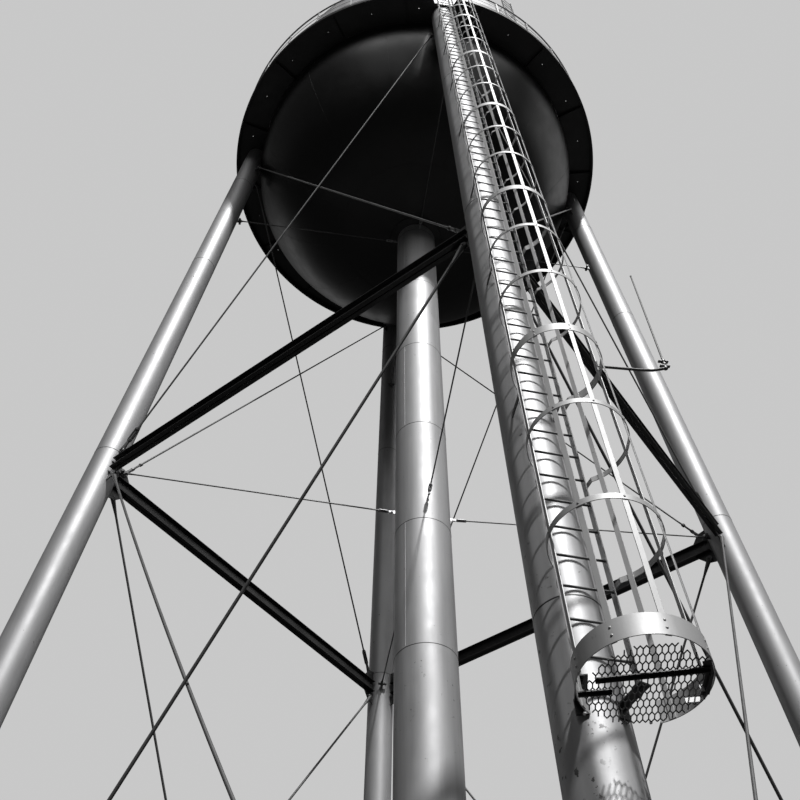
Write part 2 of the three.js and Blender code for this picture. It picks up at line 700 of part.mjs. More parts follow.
// The guard that closes the cage's foot: a sheet of expanded metal on two bars.
// Its right side just clears the cage's bars, and its left side is cut short of them.
function guardSolid() {
  const z = alongLeg(CAGE_FOOT);
  const sheet = plate(GUARD_SHEET.map(([angle, radius]) => cagePoint(angle, radius)), GUARD_THICK);
  sheet.translate(0, 0, z);
  const pieces = [solid(sheet)];
  for (const [from, to] of GUARD_BARS) {
    const ends = [from, to].map(([x, y]) => new THREE.Vector3(x, y, z - GUARD_BAR / 2 + 1));
    pieces.push(solid(squareBar(ends[0], ends[1], GUARD_BAR)));
  }
  return join(pieces);
}

// A short ladder on the tank's side, from the balcony over the roof's edge
function tankLadderSolid() {
  const y = -(TANK_RADIUS + TANK_LADDER_STANDOFF);
  const low = BALCONY_FLOOR + SEAT;
  const high = low + TANK_LADDER_RISE;
  const pieces = [];
  for (const side of [-1, 1]) {
    const x = side * TANK_LADDER_HALF_WIDTH;
    pieces.push(solid(box(x - 5, x + 5, y - 25, y + 25, low, high)));
    for (const level of [low + 500, low + 2200, low + 3900]) {
      pieces.push(solid(box(x - 5, x + 5, y, -TANK_RADIUS + 200, level - 25, level + 25)));
    }
  }
  for (let z = low + 250; z < high - 100; z += RUNG_SPACING) {
    pieces.push(solid(rung(TANK_LADDER_HALF_WIDTH, y, z)));
  }
  return join(pieces).rotate([0, 0, TANK_LADDER_BEARING + 90]).subtract(tankForm(SEAT));
}

// A whip aerial that stands upright on a level arm, clamped to a bar of the cage
function aerialSolid() {
  const z = alongLeg(AERIAL_LEVEL);
  const face = CAGE_BAR_FACE + SEAT;
  const clamp = box(-30, 30, -face - AERIAL_CLAMP_THICK, -face, z - 45, z + 45);
  clamp.rotateZ(AERIAL_BAR_ANGLE * DEGREE);
  clamp.translate(0, -CAGE_CENTRE, 0);
  const size = AERIAL_ARM_SIZE / 2;
  const arm = box(0, AERIAL_ARM, -size, size, -size, size);
  const mount = column(AERIAL_MOUNT_RADIUS, -size, AERIAL_MOUNT_TOP, 8);
  const whip = column(WHIP_RADIUS, AERIAL_MOUNT_TOP - 5, WHIP_TOP, 6);
  mount.translate(AERIAL_ARM, 0, 0);
  whip.translate(AERIAL_ARM, 0, 0);
  const [x, y] = cagePoint(AERIAL_BAR_ANGLE, face + AERIAL_CLAMP_THICK / 2);
  const upright = new THREE.Matrix4().makeRotationZ(-LADDER_TWIST * DEGREE);
  upright.multiply(new THREE.Matrix4().makeRotationX(LEG_TILT));
  upright.multiply(new THREE.Matrix4().makeRotationZ(AERIAL_BEARING * DEGREE));
  upright.setPosition(x, y, z);
  return join([clamp, ...[arm, mount, whip].map((piece) => piece.applyMatrix4(upright))].map(solid));
}

// The whole tower
const tower = new THREE.Group();

const leg = legSolid();
const pier = pierSolid();
SIDE_NAMES.forEach((name, i) => {
  const side = new THREE.Group();
  side.rotation.z = (i * Math.PI) / 2;
  side.add(named(`leg_${name}`, leg, colours.silver));
  side.add(named(`pier_${name}`, pier, colours.concrete));
  tower.add(side);
});

const lowerLug = PANEL_LEVEL - PANEL_LUG_OFFSET;
const upperLug = PANEL_LEVEL + PANEL_LUG_OFFSET;
SIDE_NAMES.forEach((name, i) => {
  const next = SIDE_NAMES[(i + 1) % 4];
  const face = new THREE.Group();
  face.applyMatrix4(faceFrame(45 + 90 * i));
  face.add(named(`strut_${name}_${next}`, strutSolid(), colours.darkPaint));
  for (const [tier, low, high, radius] of [
    ['upper', upperLug, TOP_LUG_LEVEL, UPPER_ROD_RADIUS],
    ['lower', BASE_LUG_LEVEL, lowerLug, LOWER_ROD_RADIUS],
  ]) {
    const slack = tier === 'lower' && name === 'left' ? SLACK_ROD_SAG : 0;
    const rising = tieRodSolid(lugPoint(-1, low), lugPoint(1, high), -EYE_OFFSET, radius);
    const falling = tieRodSolid(lugPoint(1, low), lugPoint(-1, high), EYE_OFFSET, radius, slack);
    face.add(named(`${tier}_rod_${next}_to_${name}`, rising, colours.rod));
    face.add(named(`${tier}_rod_${name}_to_${next}`, falling, colours.rod));
  }
  tower.add(face);
});

const riserPier = solid(column(RISER_PIER_RADIUS, 0, PIER_HEIGHT, LEG_SIDES));
tower.add(named('riser_pier', riserPier, colours.concrete));
const riserFoot = PIER_HEIGHT + SEAT;
const riserFlangeTop = riserFoot + RISER_FLANGE_THICK;
tower.add(named('riser', solid(revolve([[0, riserFoot], [RISER_FLANGE_RADIUS, riserFoot],
  [RISER_FLANGE_RADIUS, riserFlangeTop], [RISER_RADIUS, riserFlangeTop], [RISER_RADIUS, RISER_TOP],
  [0, RISER_TOP]], LEG_SIDES)), colours.silver));
const lowerStays = staysSolid(LOWER_COLLAR_LEVEL, LOWER_STAY_LEVEL);
const upperStays = staysSolid(UPPER_STAY_LEVEL, UPPER_STAY_LEVEL);
tower.add(named('riser_stays_lower', lowerStays, colours.rod));
tower.add(named('riser_stays_upper', upperStays, colours.rod));

tower.add(named('tank_bowl', bowlSolid(), colours.darkPaint));
tower.add(named('tank_shell', shellSolid(), colours.silver));
tower.add(named('tank_roof', roofSolid(), colours.silver));
tower.add(named('roof_vent', ventSolid(), colours.silver));
tower.add(named('roof_hatch', hatchSolid(), colours.silver));
tower.add(named('tank_ladder', tankLadderSolid(), colours.cageSteel));

const ladderGap = 180 / RAIL_POSTS;
const railSplit = 0.002;
tower.add(named('balcony_floor', balconyFloorSolid(), colours.darkPaint));
for (const [name, from, to] of [
  ['front_right', -90 + ladderGap, -railSplit],
  ['back_right', railSplit, 90 - railSplit],
  ['back_left', 90 + railSplit, 180 - railSplit],
  ['front_left', 180 + railSplit, 270 - ladderGap],
]) {
  tower.add(named(`railing_${name}`, railingSolid(from, to), colours.cageSteel));
}

// The ladder leans with the near leg and is turned a little round it
const climb = new THREE.Group();
climb.position.set(0, -LEG_SPREAD, 0);
climb.rotation.x = -LEG_TILT;
const turned = new THREE.Group();
turned.rotation.z = LADDER_TWIST * DEGREE;
const shifted = new THREE.Group();
shifted.position.x = LADDER_SHIFT;
shifted.add(named('ladder', ladderSolid(), colours.cageSteel));
const splitGap = 0.05;
for (const [name, from, to, tail] of [
  ['left', -TAIL_ANGLE, -SIDE_SPLIT - splitGap, -1],
  ['front_left', -SIDE_SPLIT + splitGap, -FRONT_SPLIT - splitGap, 0],
  ['front', -FRONT_SPLIT + splitGap, FRONT_SPLIT - splitGap, 0],
  ['front_right', FRONT_SPLIT + splitGap, SIDE_SPLIT - splitGap, 0],
  ['right', SIDE_SPLIT + splitGap, TAIL_ANGLE, 1],
]) {
  shifted.add(named(`cage_${name}`, cageSolid(from, to, tail), colours.cageSteel));
}
shifted.add(named('climb_guard', guardSolid(), colours.darkPaint));
shifted.add(named('whip_aerial', aerialSolid(), colours.rod));
turned.add(shifted);
climb.add(turned);
tower.add(climb);

export default tower;
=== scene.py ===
"""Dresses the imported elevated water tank: rolled plates, welded seams, tie rods, a caged
ladder, an expanded metal guard, a railed balcony and weathered paint, in metres."""
import json
import math

import bpy
import numpy as np
from bpy.props import FloatProperty, FloatVectorProperty, IntProperty, PointerProperty
from mathutils import Matrix


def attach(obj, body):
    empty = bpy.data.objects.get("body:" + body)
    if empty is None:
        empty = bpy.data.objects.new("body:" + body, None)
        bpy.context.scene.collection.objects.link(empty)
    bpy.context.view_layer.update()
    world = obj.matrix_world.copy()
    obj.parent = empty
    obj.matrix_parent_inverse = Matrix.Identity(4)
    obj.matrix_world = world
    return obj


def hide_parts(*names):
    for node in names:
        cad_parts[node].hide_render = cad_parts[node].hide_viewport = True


bl_info = {
    "name": "Elevated Water Tank",
    "version": (1, 0, 0),
    "blender": (4, 5, 0),
    "location": "View3D > Sidebar > Water Tank",
    "description": "Dresses a packed water tower with plates, rods, a caged ladder and paint",
    "category": "Object",
}

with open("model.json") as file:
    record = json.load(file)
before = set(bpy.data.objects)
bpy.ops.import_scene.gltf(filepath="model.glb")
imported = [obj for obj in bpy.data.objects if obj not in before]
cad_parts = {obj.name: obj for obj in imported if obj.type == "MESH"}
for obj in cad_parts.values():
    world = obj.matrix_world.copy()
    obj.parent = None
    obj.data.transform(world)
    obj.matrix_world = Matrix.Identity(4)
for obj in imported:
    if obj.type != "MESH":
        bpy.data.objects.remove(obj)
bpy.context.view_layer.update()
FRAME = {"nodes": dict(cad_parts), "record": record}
SIDES = ("near", "right", "far", "left")
UP = np.array([0.0, 0.0, 1.0])
UNMOVED = np.eye(4)

# A finish is a material and the slot of the pieces that wear it
SILVER = ("Silver paint", "silver_paint")
# The near-black finish below is painted shade: it darkens the bowl, the shell's skirt, the balcony
# deck, the struts, the gussets, the brackets and the strut bolts as shade would.
SHADE_FINISH = ("Shade black paint", "dark_paint")
RODS = ("Rod paint", "rod_paint")
CAGE = ("Cage paint", "cage_steel")
CONCRETE = ("Rough concrete", "concrete")
WELDS = ("Rod paint", "silver_paint")
LADDER = ("Rod paint", "cage_steel")
MESH = ("Guard paint", "dark_paint")
EFFECT_SCALES = {"Dirt streaks": 1.0, "Paint chips": 15.0, "Brushed grain": 30.0}

# Sizes of the solids that the pieces stand for, in metres. SEAT is the gap where two meet.
SEAT = 0.0003
LEG_SPREAD = 6.203
BATTER = 0.0708
LEG_RADIUS = 0.254
LEG_SEAMS = (5.97, 13.4, 19.9, 24.1)
PIER_TOP_LEVEL = 0.45
PIER_BASE = 1.25
PIER_TOP = 1.05
PIER_CHAMFER = 0.02
DRUM_RADIUS = 0.9
BASE_PLATE = 0.78
BASE_PLATE_THICK = 0.038
RIB_HEIGHT = 0.24
RIB_THICK = 0.016
PANEL_LEVEL = 13.04
GUSSET_THICK = 0.016
STRUT_PLATE = 0.009
LUG_REACH = 0.105
LEG_LUG_THICK = 0.014
EYE_RADIUS = 0.058
EYE_THICK = 0.038
TOP_LUG_LEVEL = 24.9
BASE_LUG_LEVEL = 1.05
PANEL_LUG_OFFSET = 0.265
ROD_RADIUS = {"upper": 0.016, "lower": 0.019}
SLACK_SAG = 0.28
STAY_RADIUS = 0.012
STAY_OFFSET = 0.0183
LOWER_COLLAR_LEVEL = 12.8
UPPER_STAY_LEVEL = 22.2
RISER_RADIUS = 0.457
RISER_TOP = 22.62
RISER_BORE = 0.05
RISER_SEAMS = (2.49, 4.95, 7.41, 9.87, 12.31, 14.74, 17.27, 19.75, 22.15)
RISER_SEAM_BEARINGS = (-138, 12)
FLANGE_RADIUS = 0.59
FLANGE_THICK = 0.032
FLANGE_BOLTS = 0.535

TANK_RADIUS = 4.19
TANK_PLATE = 0.01
BOWL_RIM_LEVEL = 25.55
BOWL_DEPTH = 3.12
BOWL_KNUCKLE = 0.11
KNUCKLE_SCALE = 17.65
BOWL_COLLAR = ((0.4575, 22.40), (0.62, 22.437), (0.63, 22.452), (0.63, 22.47), (0.4575, 22.47))
SHELL_TOP = 30.15
SHELL_COURSES = 3
ROOF_RISE = 1.95
ROOF_PLATE = 0.010
ROOF_CAP_RADIUS = 0.34
VENT_BASE = 32.12
VENT_NECK = 0.23
VENT_HOOD = 0.43
HATCH_REACH = 3.05
HATCH_BEARING = math.radians(-62)
SIDE_LADDER_TURN = math.radians(30)
SIDE_LADDER_STANDOFF = 0.19
SIDE_LADDER_HEIGHT = 5.05
BALCONY_RADIUS = 4.89
CURB_BOTTOM = 25.86
CURB_THICK = 0.008
BALCONY_FLOOR = 26.01
DECK_THICK = 0.01
DECK_PLATES = 24
DECK_NOTCH = 0.32
DECK_NOTCH_DEPTH = 0.21
DRAIN_RADIUS = 0.009
DRAIN_REACH = 4.53
RAIL_RADIUS = 4.842
RAIL_HEIGHT = 0.99
RAIL_POSTS = 32
TOP_RAIL = 0.021
FLAT_RAIL_SHARES = (0.36, 0.68)

# The ladder on the near leg, in a frame whose z runs up the leg and whose -y points outwards
LADDER_TWIST = math.radians(3)
LADDER_SHIFT = -0.01
LADDER_STANDOFF = 0.405
LADDER_HALF_WIDTH = 0.19
LADDER_FOOT = 5.0
LADDER_TOP = 27.4
RUNG_RADIUS = 0.010
RUNG_SPACING = 0.3048
LOWEST_RUNG = 5.258
BRACKET_FOOT = 8.24
BRACKET_SPACING = 2.64
FOOT_BRACKET = ((0.196, -0.445), (0.134, -0.232))
CAGE_CENTRE = 0.822
CAGE_RADIUS = 0.389
CAGE_FOOT = 4.735
CAGE_BAR_STEP = 45
CAGE_BAR_THICK = 0.007
HOOP_THICK = 0.006
HOOP_HEIGHTS = (0.102, 0.051, 0.051)
FOOT_BAND = 0.155
HOOP_RISES = np.array([
    0, 1.081, 2.180, 3.292, 4.351, 5.430, 6.478, 7.649, 8.676, 9.696, 10.759,
    11.754, 12.710, 13.677, 14.632, 15.568, 16.540, 17.510, 18.480, 19.450, 20.420, 21.390,
])
TAIL_ANGLE = 146.25

# The guard's edge as (degrees, radius); bars and corner as (x, y); clips as (x, y), (x, y), depth
GUARD_SHEET = np.array([
    (-70, 0.298), (-50, 0.286), (-31, 0.289), (-5, 0.307), (14, 0.331), (34, 0.332), (45, 0.3767),
    (67.5, 0.3767), (90, 0.3767), (112.5, 0.3767), (135, 0.3767), (145, 0.365), (162, 0.365),
    (180, 0.365), (199, 0.365), (218, 0.365), (243, 0.362), (256, 0.329), (274, 0.301),
])
GUARD_BARS = (((-0.287, -0.804), (0.307, -1.014)), ((-0.347, -0.676), (-0.163, -0.735)))
GUARD_CORNER = ((0.266, -1.066), (0.318, -0.975), (0.360, -0.800))
GUARD_CLIPS = (((0.258, -0.748), (0.338, -0.775), 0.034), ((0.298, -0.866), (0.322, -0.870), 0.044))
MESH_CELL = (0.034, 0.088)
MESH_THICK = 0.003
MESH_TURN = math.radians(-17.5)
AERIAL_LEVEL = 8.21
AERIAL_BEARING = math.radians(-3)
AERIAL_ARM = 0.59
AERIAL_LIFT = 0.055
WHIP_TOP = 1.6

# The stage
LENS = 42.322
CAMERA_PLACE = (-1.9517, -10.8755, 1.6)
CAMERA_AXES = ((0.98939413, -0.14524127, 0.00205452), (-0.1163812, -0.7841751, 0.60952836),
               (-0.08691757, -0.60330289, -0.7927616))
FLOOR_RADIUS = 25

LEG_TILT = math.atan(BATTER)
FACE_TILT = math.atan(BATTER * math.sqrt(0.5))
EYE_OFFSET = GUSSET_THICK / 2 + SEAT + EYE_THICK / 2
LEG_TOP = BALCONY_FLOOR - DECK_THICK - 0.0005


class TowerSizes(bpy.types.PropertyGroup):
    """Sizes that may be changed without leaving the solids."""

    pipe_sides: IntProperty(
        name="Pipe Sides", description="Sides of a leg or riser pipe", default=96, min=24, max=256)
    tank_sides: IntProperty(
        name="Tank Sides", description="Sides of the tank", default=192, min=48, max=512)
    weld_height: FloatProperty(
        name="Weld Height", description="How far a weld on a pipe stands proud", default=0.003,
        min=0, max=0.01, unit="LENGTH")
    bolt_scale: FloatProperty(
        name="Bolt Scale", description="Size of the bolts' heads against the real ones",
        default=1, min=0.5, max=1.5)
    mesh_strand: FloatProperty(
        name="Mesh Strand", description="Width of a strand of the expanded metal",
        default=0.0075, min=0.002, max=0.02, unit="LENGTH")


class TowerColours(bpy.types.PropertyGroup):
    """Paint and concrete colours; the near-black one is painted shade."""

    silver: FloatVectorProperty(
        name="Silver Paint", description="Legs, riser, shell and roof", subtype="COLOR",
        default=(0.50, 0.50, 0.505), min=0, max=1)
    # Near-black painted shade for the bowl, the balcony deck and the struts.
    shade_black: FloatVectorProperty(
        name="Shade Black Paint", description="Bowl, balcony deck and struts", subtype="COLOR",
        default=(0.005, 0.005, 0.005), min=0, max=1)
    rod: FloatVectorProperty(
        name="Rod Paint", description="Tie rods, stays, ladder and guard", subtype="COLOR",
        default=(0.15, 0.15, 0.15), min=0, max=1)
    cage: FloatVectorProperty(
        name="Cage Paint", description="Cage, railing and shell ladder", subtype="COLOR",
        default=(0.52, 0.52, 0.52), min=0, max=1)
    concrete: FloatVectorProperty(
        name="Concrete", description="Piers", subtype="COLOR",
        default=(0.36, 0.35, 0.33), min=0, max=1)


def sizes():
    return bpy.context.scene.tower_sizes


def colours():
    return bpy.context.scene.tower_colours


# Frames, as 4x4 matrices that act on columns
def turn_z(angle):
    c, s = math.cos(angle), math.sin(angle)
    return np.array([[c, -s, 0, 0], [s, c, 0, 0], [0, 0, 1, 0], [0, 0, 0, 1]], float)


def turn_x(angle):
    c, s = math.cos(angle), math.sin(angle)
    return np.array([[1, 0, 0, 0], [0, c, -s, 0], [0, s, c, 0], [0, 0, 0, 1]], float)


def turn_y(angle):
    c, s = math.cos(angle), math.sin(angle)
    return np.array([[c, 0, s, 0], [0, 1, 0, 0], [-s, 0, c, 0], [0, 0, 0, 1]], float)


def shift(x, y, z):
    matrix = np.eye(4)
    matrix[:3, 3] = (x, y, z)
    return matrix


def quarter(k):
    """The turn about the tower's axis that takes the near leg to leg k."""
    return turn_z(k * math.pi / 2)


def leg_frame(k):
    """Frame of leg k: z runs along its axis from ground level, -y points outwards."""
    return quarter(k) @ shift(0, -LEG_SPREAD, 0) @ turn_x(-LEG_TILT)


def face_frame(k):
    """Frame of the face between leg k and the next: x runs along it, z up its slope."""
    middle = shift(0, -LEG_SPREAD * math.sqrt(0.5), 0)
    return turn_z(math.pi / 4 + k * math.pi / 2) @ middle @ turn_x(-FACE_TILT)


LADDER_FRAME = leg_frame(0) @ turn_z(LADDER_TWIST) @ shift(LADDER_SHIFT, 0, 0)


def along_leg(level):
    return level / math.cos(LEG_TILT)


def leg_place(level):
    """The near leg's axis along y, at a level."""
    return BATTER * level - LEG_SPREAD


def half_face(z):
    """Half the distance between two leg axes at height z up a face."""
    return (LEG_SPREAD - BATTER * z * math.cos(FACE_TILT)) * math.sqrt(0.5)


def lug_point(side, z):
    return np.array([side * (half_face(z) - LEG_RADIUS - LUG_REACH), 0.0, z])


# Surfaces. A patch is (vertices, list of face arrays); many copies of a form make one patch.
def circle(sides):
    return np.linspace(0, 2 * np.pi, sides, endpoint=False)


def unit(vectors):
    vectors = np.asarray(vectors, float)
    return vectors / np.linalg.norm(vectors, axis=-1, keepdims=True)


def ring_points(radius, angles, level):
    """Points (R cos t, R sin t, z)."""
    return np.column_stack([radius * np.cos(angles), radius * np.sin(angles), 0 * angles + level])


def loft(rings, closed=False):
    """Skins rings[k, i, j]: item k, station i along it, point j round it. The skin through
    stations i and i + 1 is the ruled surface between them; open ends get flat caps."""
    rings = np.asarray(rings, float)
    if rings.ndim == 3:
        rings = rings[None]
    count, rows, around = rings.shape[:3]
    index = np.arange(count * rows * around).reshape(count, rows, around)
    low = index if closed else index[:, :-1]
    high = np.roll(index, -1, 1) if closed else index[:, 1:]
    quads = np.stack([low, np.roll(low, -1, 2), np.roll(high, -1, 2), high], -1).reshape(-1, 4)
    faces = [quads] if closed else [quads, index[:, 0, ::-1], index[:, -1]]
    return rings.reshape(-1, 3), faces


def round_section(u, v, sides):
    """A unit circle u cos t + v sin t for each pair of vectors."""
    t = circle(sides)[:, None]
    return u[:, None] * np.cos(t) + v[:, None] * np.sin(t)


def turned(points, axes, profile, sides):
    """Turned forms on points p with unit axes a: p + h a + r (u cos t + v sin t), where
    (h, r) runs over the profile, t goes round, u = a x k made unit and v = a x u. The vector
    k is the z axis, or the x axis where a stands nearly upright."""
    points = np.atleast_2d(points)
    axes = np.broadcast_to(unit(np.atleast_2d(axes)), points.shape)
    u = unit(np.cross(axes, np.where(np.abs(axes[:, 2:]) > 0.9, [[1.0, 0, 0]], [UP])))
    ring = round_section(u, np.cross(axes, u), sides)
    profile = np.broadcast_to(np.asarray(profile, float), (len(points),) + np.shape(profile)[-2:])
    spine = points[:, None] + profile[..., :1] * axes[:, None]
    return loft(spine[:, :, None] + profile[..., 1][..., None, None] * ring[:, None])


def round_bars(starts, ends, radius, sides=12):
    """Round bars from a to b: a + s (b - a) + r (u cos t + v sin t), chamfered at the ends."""
    starts, ends = np.atleast_2d(starts).astype(float), np.atleast_2d(ends).astype(float)
    length = np.linalg.norm(ends - starts, axis=1)
    cut = radius * 0.15
    zero = np.zeros_like(length)
    heights = np.stack([zero, zero + cut, length - cut, length], 1)
    radii = np.broadcast_to([radius - cut, radius, radius, radius - cut], heights.shape)
    return turned(starts, ends - starts, np.stack([heights, radii], -1), sides)


def beams(starts, ends, width, depth, up):
    """Flat bars from a to b with a w by d section: a + s (b - a) +- w/2 e +- d/2 n, where
    n is the up vector made square to the run and e = run x n."""
    starts, ends = np.atleast_2d(starts).astype(float), np.atleast_2d(ends).astype(float)
    run = unit(ends - starts)
    up = np.broadcast_to(np.asarray(up, float), run.shape)
    n = unit(up - run * np.sum(up * run, 1, keepdims=True))
    e = np.cross(run, n)
    corners = np.array([[-1, -1], [-1, 1], [1, 1], [1, -1]]) / 2
    offsets = corners[:, :1] * width * e[:, None] + corners[:, 1:] * depth * n[:, None]
    return loft(np.stack([starts[:, None] + offsets, ends[:, None] + offsets], 1))


def swept_round(path, radius, sides=12, reference=UP):
    """A round section carried along a path: P(s, t) = c(s) + r(s) (N cos t + B sin t), where
    N = T x reference made unit and B = T x N."""
    path = np.asarray(path, float)
    tangent = unit(np.gradient(path, axis=0))
    n = unit(np.cross(tangent, reference))
    radius = np.broadcast_to(radius, len(path))[:, None, None]
    return loft(path[:, None] + radius * round_section(n, np.cross(tangent, n), sides))


def revolved(profile, sides, closed=True):
    """A profile of (r, z) points turned about the z axis: (r cos t, r sin t, z)."""
    profile, t = np.asarray(profile, float), circle(sides)
    r, z = profile[:, :1], profile[:, 1:]
    return loft(np.stack([r * np.cos(t), r * np.sin(t), z + 0 * t], -1), closed)


def carried_round(section, angles):
    """A section of (r, z) points carried part of the way round the z axis."""
    r, z, t = section[:, 0], section[:, 1], angles[:, None]
    return loft(np.stack([r * np.cos(t), r * np.sin(t), z + 0 * t], -1))


def prism(outline, low, high):
    """A flat outline of (x, y) points raised from z = low to z = high."""
    outline = np.asarray(outline, float)
    levels = [np.column_stack([outline, np.full(len(outline), z)]) for z in (low, high)]
    return loft(np.stack(levels))


def square_block(half, low, high):
    return prism([(-half, -half), (half, -half), (half, half), (-half, half)], low, high)


def upright_plate(outline, thickness):
    """A flat outline of (x, z) points, centred on y = 0."""
    verts, faces = prism(outline, -thickness / 2, thickness / 2)
    return verts[:, [0, 2, 1]], faces


def radial_plate(outline, thickness, centre=0.0):
    """A flat outline of (y, z) points, centred on x = centre."""
    verts, faces = prism(outline, centre - thickness / 2, centre + thickness / 2)
    return verts[:, [2, 0, 1]], faces


def moved(patch, matrix):
    verts, faces = patch
    return verts @ matrix[:3, :3].T + matrix[:3, 3], faces


def moved_all(patches, matrix):
    return [moved(patch, matrix) for patch in patches]


def four_ways(patches):
    """Copies of the patches, turned to each leg's side."""
    return [moved(patch, quarter(k)) for k in range(4) for patch in patches]


def outwards(patch):
    """Turns the faces outwards where the signed volume, the sum of a . (b x c) / 6 over
    their fans, is negative."""
    verts, faces = patch
    volume = 0.0
    for face in faces:
        a = verts[face[:, 0]]
        for i in range(1, face.shape[1] - 1):
            volume += np.sum(a * np.cross(verts[face[:, i]], verts[face[:, i + 1]]))
    return patch if volume >= 0 else (verts, [face[:, ::-1] for face in faces])


def convex(points):
    """The convex outline of a set of (x, z) points, by Andrew's monotone chain."""
    points = sorted(map(tuple, points))

    def half(run):
        chain = []
        for p in run:
            while len(chain) > 1:
                (ax, az), (bx, bz) = chain[-2], chain[-1]
                if (bx - ax) * (p[1] - az) - (bz - az) * (p[0] - ax) > 0:
                    break
                chain.pop()
            chain.append(p)
        return chain[:-1]

    return np.array(half(points) + half(points[::-1]))


def disc(x, z, radius, sides=24):
    t = circle(sides)
    return np.column_stack([x + radius * np.cos(t), z + radius * np.sin(t)])


def bolts(points, axes, size):
    """Hexagon heads on round washers."""
    r = size * sizes().bolt_scale
    washer = turned(points, axes, [(-0.002, 1.25 * r), (0.18 * r, 1.25 * r)], 12)
    head = turned(points, axes, [(0.18 * r, r), (0.85 * r, r), (r, 0.86 * r)], 6)
    return [washer, head]


def piece(name, patches, finish, nodes=(), frame=UNMOVED, bevel=0.0):
    """Makes one mesh of patches, rides it on the tower and lets it stand for nodes."""
    patches = [outwards(patch) for patch in moved_all(patches, frame)]
    starts = np.cumsum([0] + [len(p[0]) for p in patches])
    faces = [f + start for (_, fs), start in zip(patches, starts) for f in fs]
    verts = np.concatenate([p[0] for p in patches])
    corners = np.concatenate([f.ravel() for f in faces])
    widths = np.concatenate([np.full(len(f), f.shape[1]) for f in faces])
    mesh = bpy.data.meshes.new(name)
    mesh.vertices.add(len(verts))
    mesh.vertices.foreach_set("co", verts.astype(np.float32).ravel())
    mesh.loops.add(len(corners))
    mesh.loops.foreach_set("vertex_index", corners.astype(np.int32))
    mesh.polygons.add(len(widths))
    mesh.polygons.foreach_set("loop_start", (np.cumsum(widths) - widths).astype(np.int32))
    mesh.update(calc_edges=True)
    mesh.polygons.foreach_set("use_smooth", np.ones(len(widths), bool))
    mesh.set_sharp_from_angle(angle=math.radians(32))
    obj = bpy.data.objects.new(name, mesh)
    bpy.context.scene.collection.objects.link(obj)
    material, slot = finish
    mesh.materials.append(bpy.data.materials[material])
    if bevel:
        rounding = obj.modifiers.new("Rounded edges", "BEVEL")
        rounding.width = bevel
        rounding.segments = 2
        rounding.limit_method = "ANGLE"
        rounding.angle_limit = math.radians(40)
        rounding.harden_normals = True
    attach(obj, "root")
    if nodes:
        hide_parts(*nodes)


# Materials
def wire(made, values):
    """Fills a node's inputs: a socket is linked to the input, anything else is its value."""
    for key, value in values.items():
        if isinstance(value, bpy.types.NodeSocket):
            made.id_data.links.new(value, made.inputs[key])
        else:
            made.inputs[key].default_value = value


def node(tree, kind, values=None, **attributes):
    made = tree.nodes.new(kind)
    for key, value in attributes.items():
        setattr(made, key, value)
    wire(made, values or {})
    return made


def remapped(tree, source, low, high, to_low=0.0, to_high=1.0):
    """A smooth step of source from low..high to to_low..to_high."""
    return node(tree, "ShaderNodeMapRange", {
        "Value": source, "From Min": low, "From Max": high, "To Min": to_low,
        "To Max": to_high}, interpolation_type="SMOOTHSTEP").outputs["Result"]


def noise(tree, place, scale, detail, roughness=0.5):
    return node(tree, "ShaderNodeTexNoise", {
        "Vector": place, "Scale": scale, "Detail": detail, "Roughness": roughness}).outputs["Fac"]


def calculated(tree, operation, *terms):
    values = dict(enumerate(terms))
    return node(tree, "ShaderNodeMath", values, operation=operation).outputs[0]


def mixed(tree, factor, first, second):
    values = {"Factor": factor, "A": first, "B": second}
    return node(tree, "ShaderNodeMix", values, data_type="RGBA").outputs["Result"]


def dirt_streaks(tree, place, scale):
    """Runs of dirt: noise stretched along z, kept where it passes a threshold."""
    stretch = node(tree, "ShaderNodeMapping", {"Vector": place, "Scale": (5.0, 5.0, 0.28)})
    grain = noise(tree, stretch.outputs[0], scale, 6.0, 0.62)
    return {"Mask": remapped(tree, grain, 0.42, 0.72)}


def paint_chips(tree, place, scale):
    """Small chips of missing paint: fine noise inside patches of coarse noise, more of them
    low down, from 10 m to 4 m above the ground."""
    patches = remapped(tree, noise(tree, place, 1.7, 3.0), 0.48, 0.62)
    height = node(tree, "ShaderNodeSeparateXYZ", {0: place}).outputs["Z"]
    low = remapped(tree, height, 4.0, 10.0, 0.055, 0.0)
    worn = calculated(tree, "ADD", noise(tree, place, scale, 5.0, 0.6), low)
    return {"Mask": calculated(tree, "MULTIPLY", patches, remapped(tree, worn, 0.665, 0.70))}


def brushed_grain(tree, place, scale):
    """Brushed paint: fine noise plus a tenth of wide noise, for height and for roughness."""
    wide = noise(tree, place, 3.0, 4.0)
    total = calculated(tree, "MULTIPLY_ADD", wide, 0.1, noise(tree, place, scale, 3.0))
    return {"Height": total, "Wide": remapped(tree, wide, 0.3, 0.7)}


def effect_group(name, make):
    """A shader node group that takes a position and a scale; make gives what it puts out."""
    tree = bpy.data.node_groups.new(name, "ShaderNodeTree")
    for label, kind in (("Position", "NodeSocketVector"), ("Scale", "NodeSocketFloat")):
        tree.interface.new_socket(name=label, in_out="INPUT", socket_type=kind)
    taken = tree.nodes.new("NodeGroupInput").outputs
    made = make(tree, taken["Position"], taken["Scale"])
    for label in made:
        tree.interface.new_socket(name=label, in_out="OUTPUT", socket_type="NodeSocketFloat")
    node(tree, "NodeGroupOutput", made)


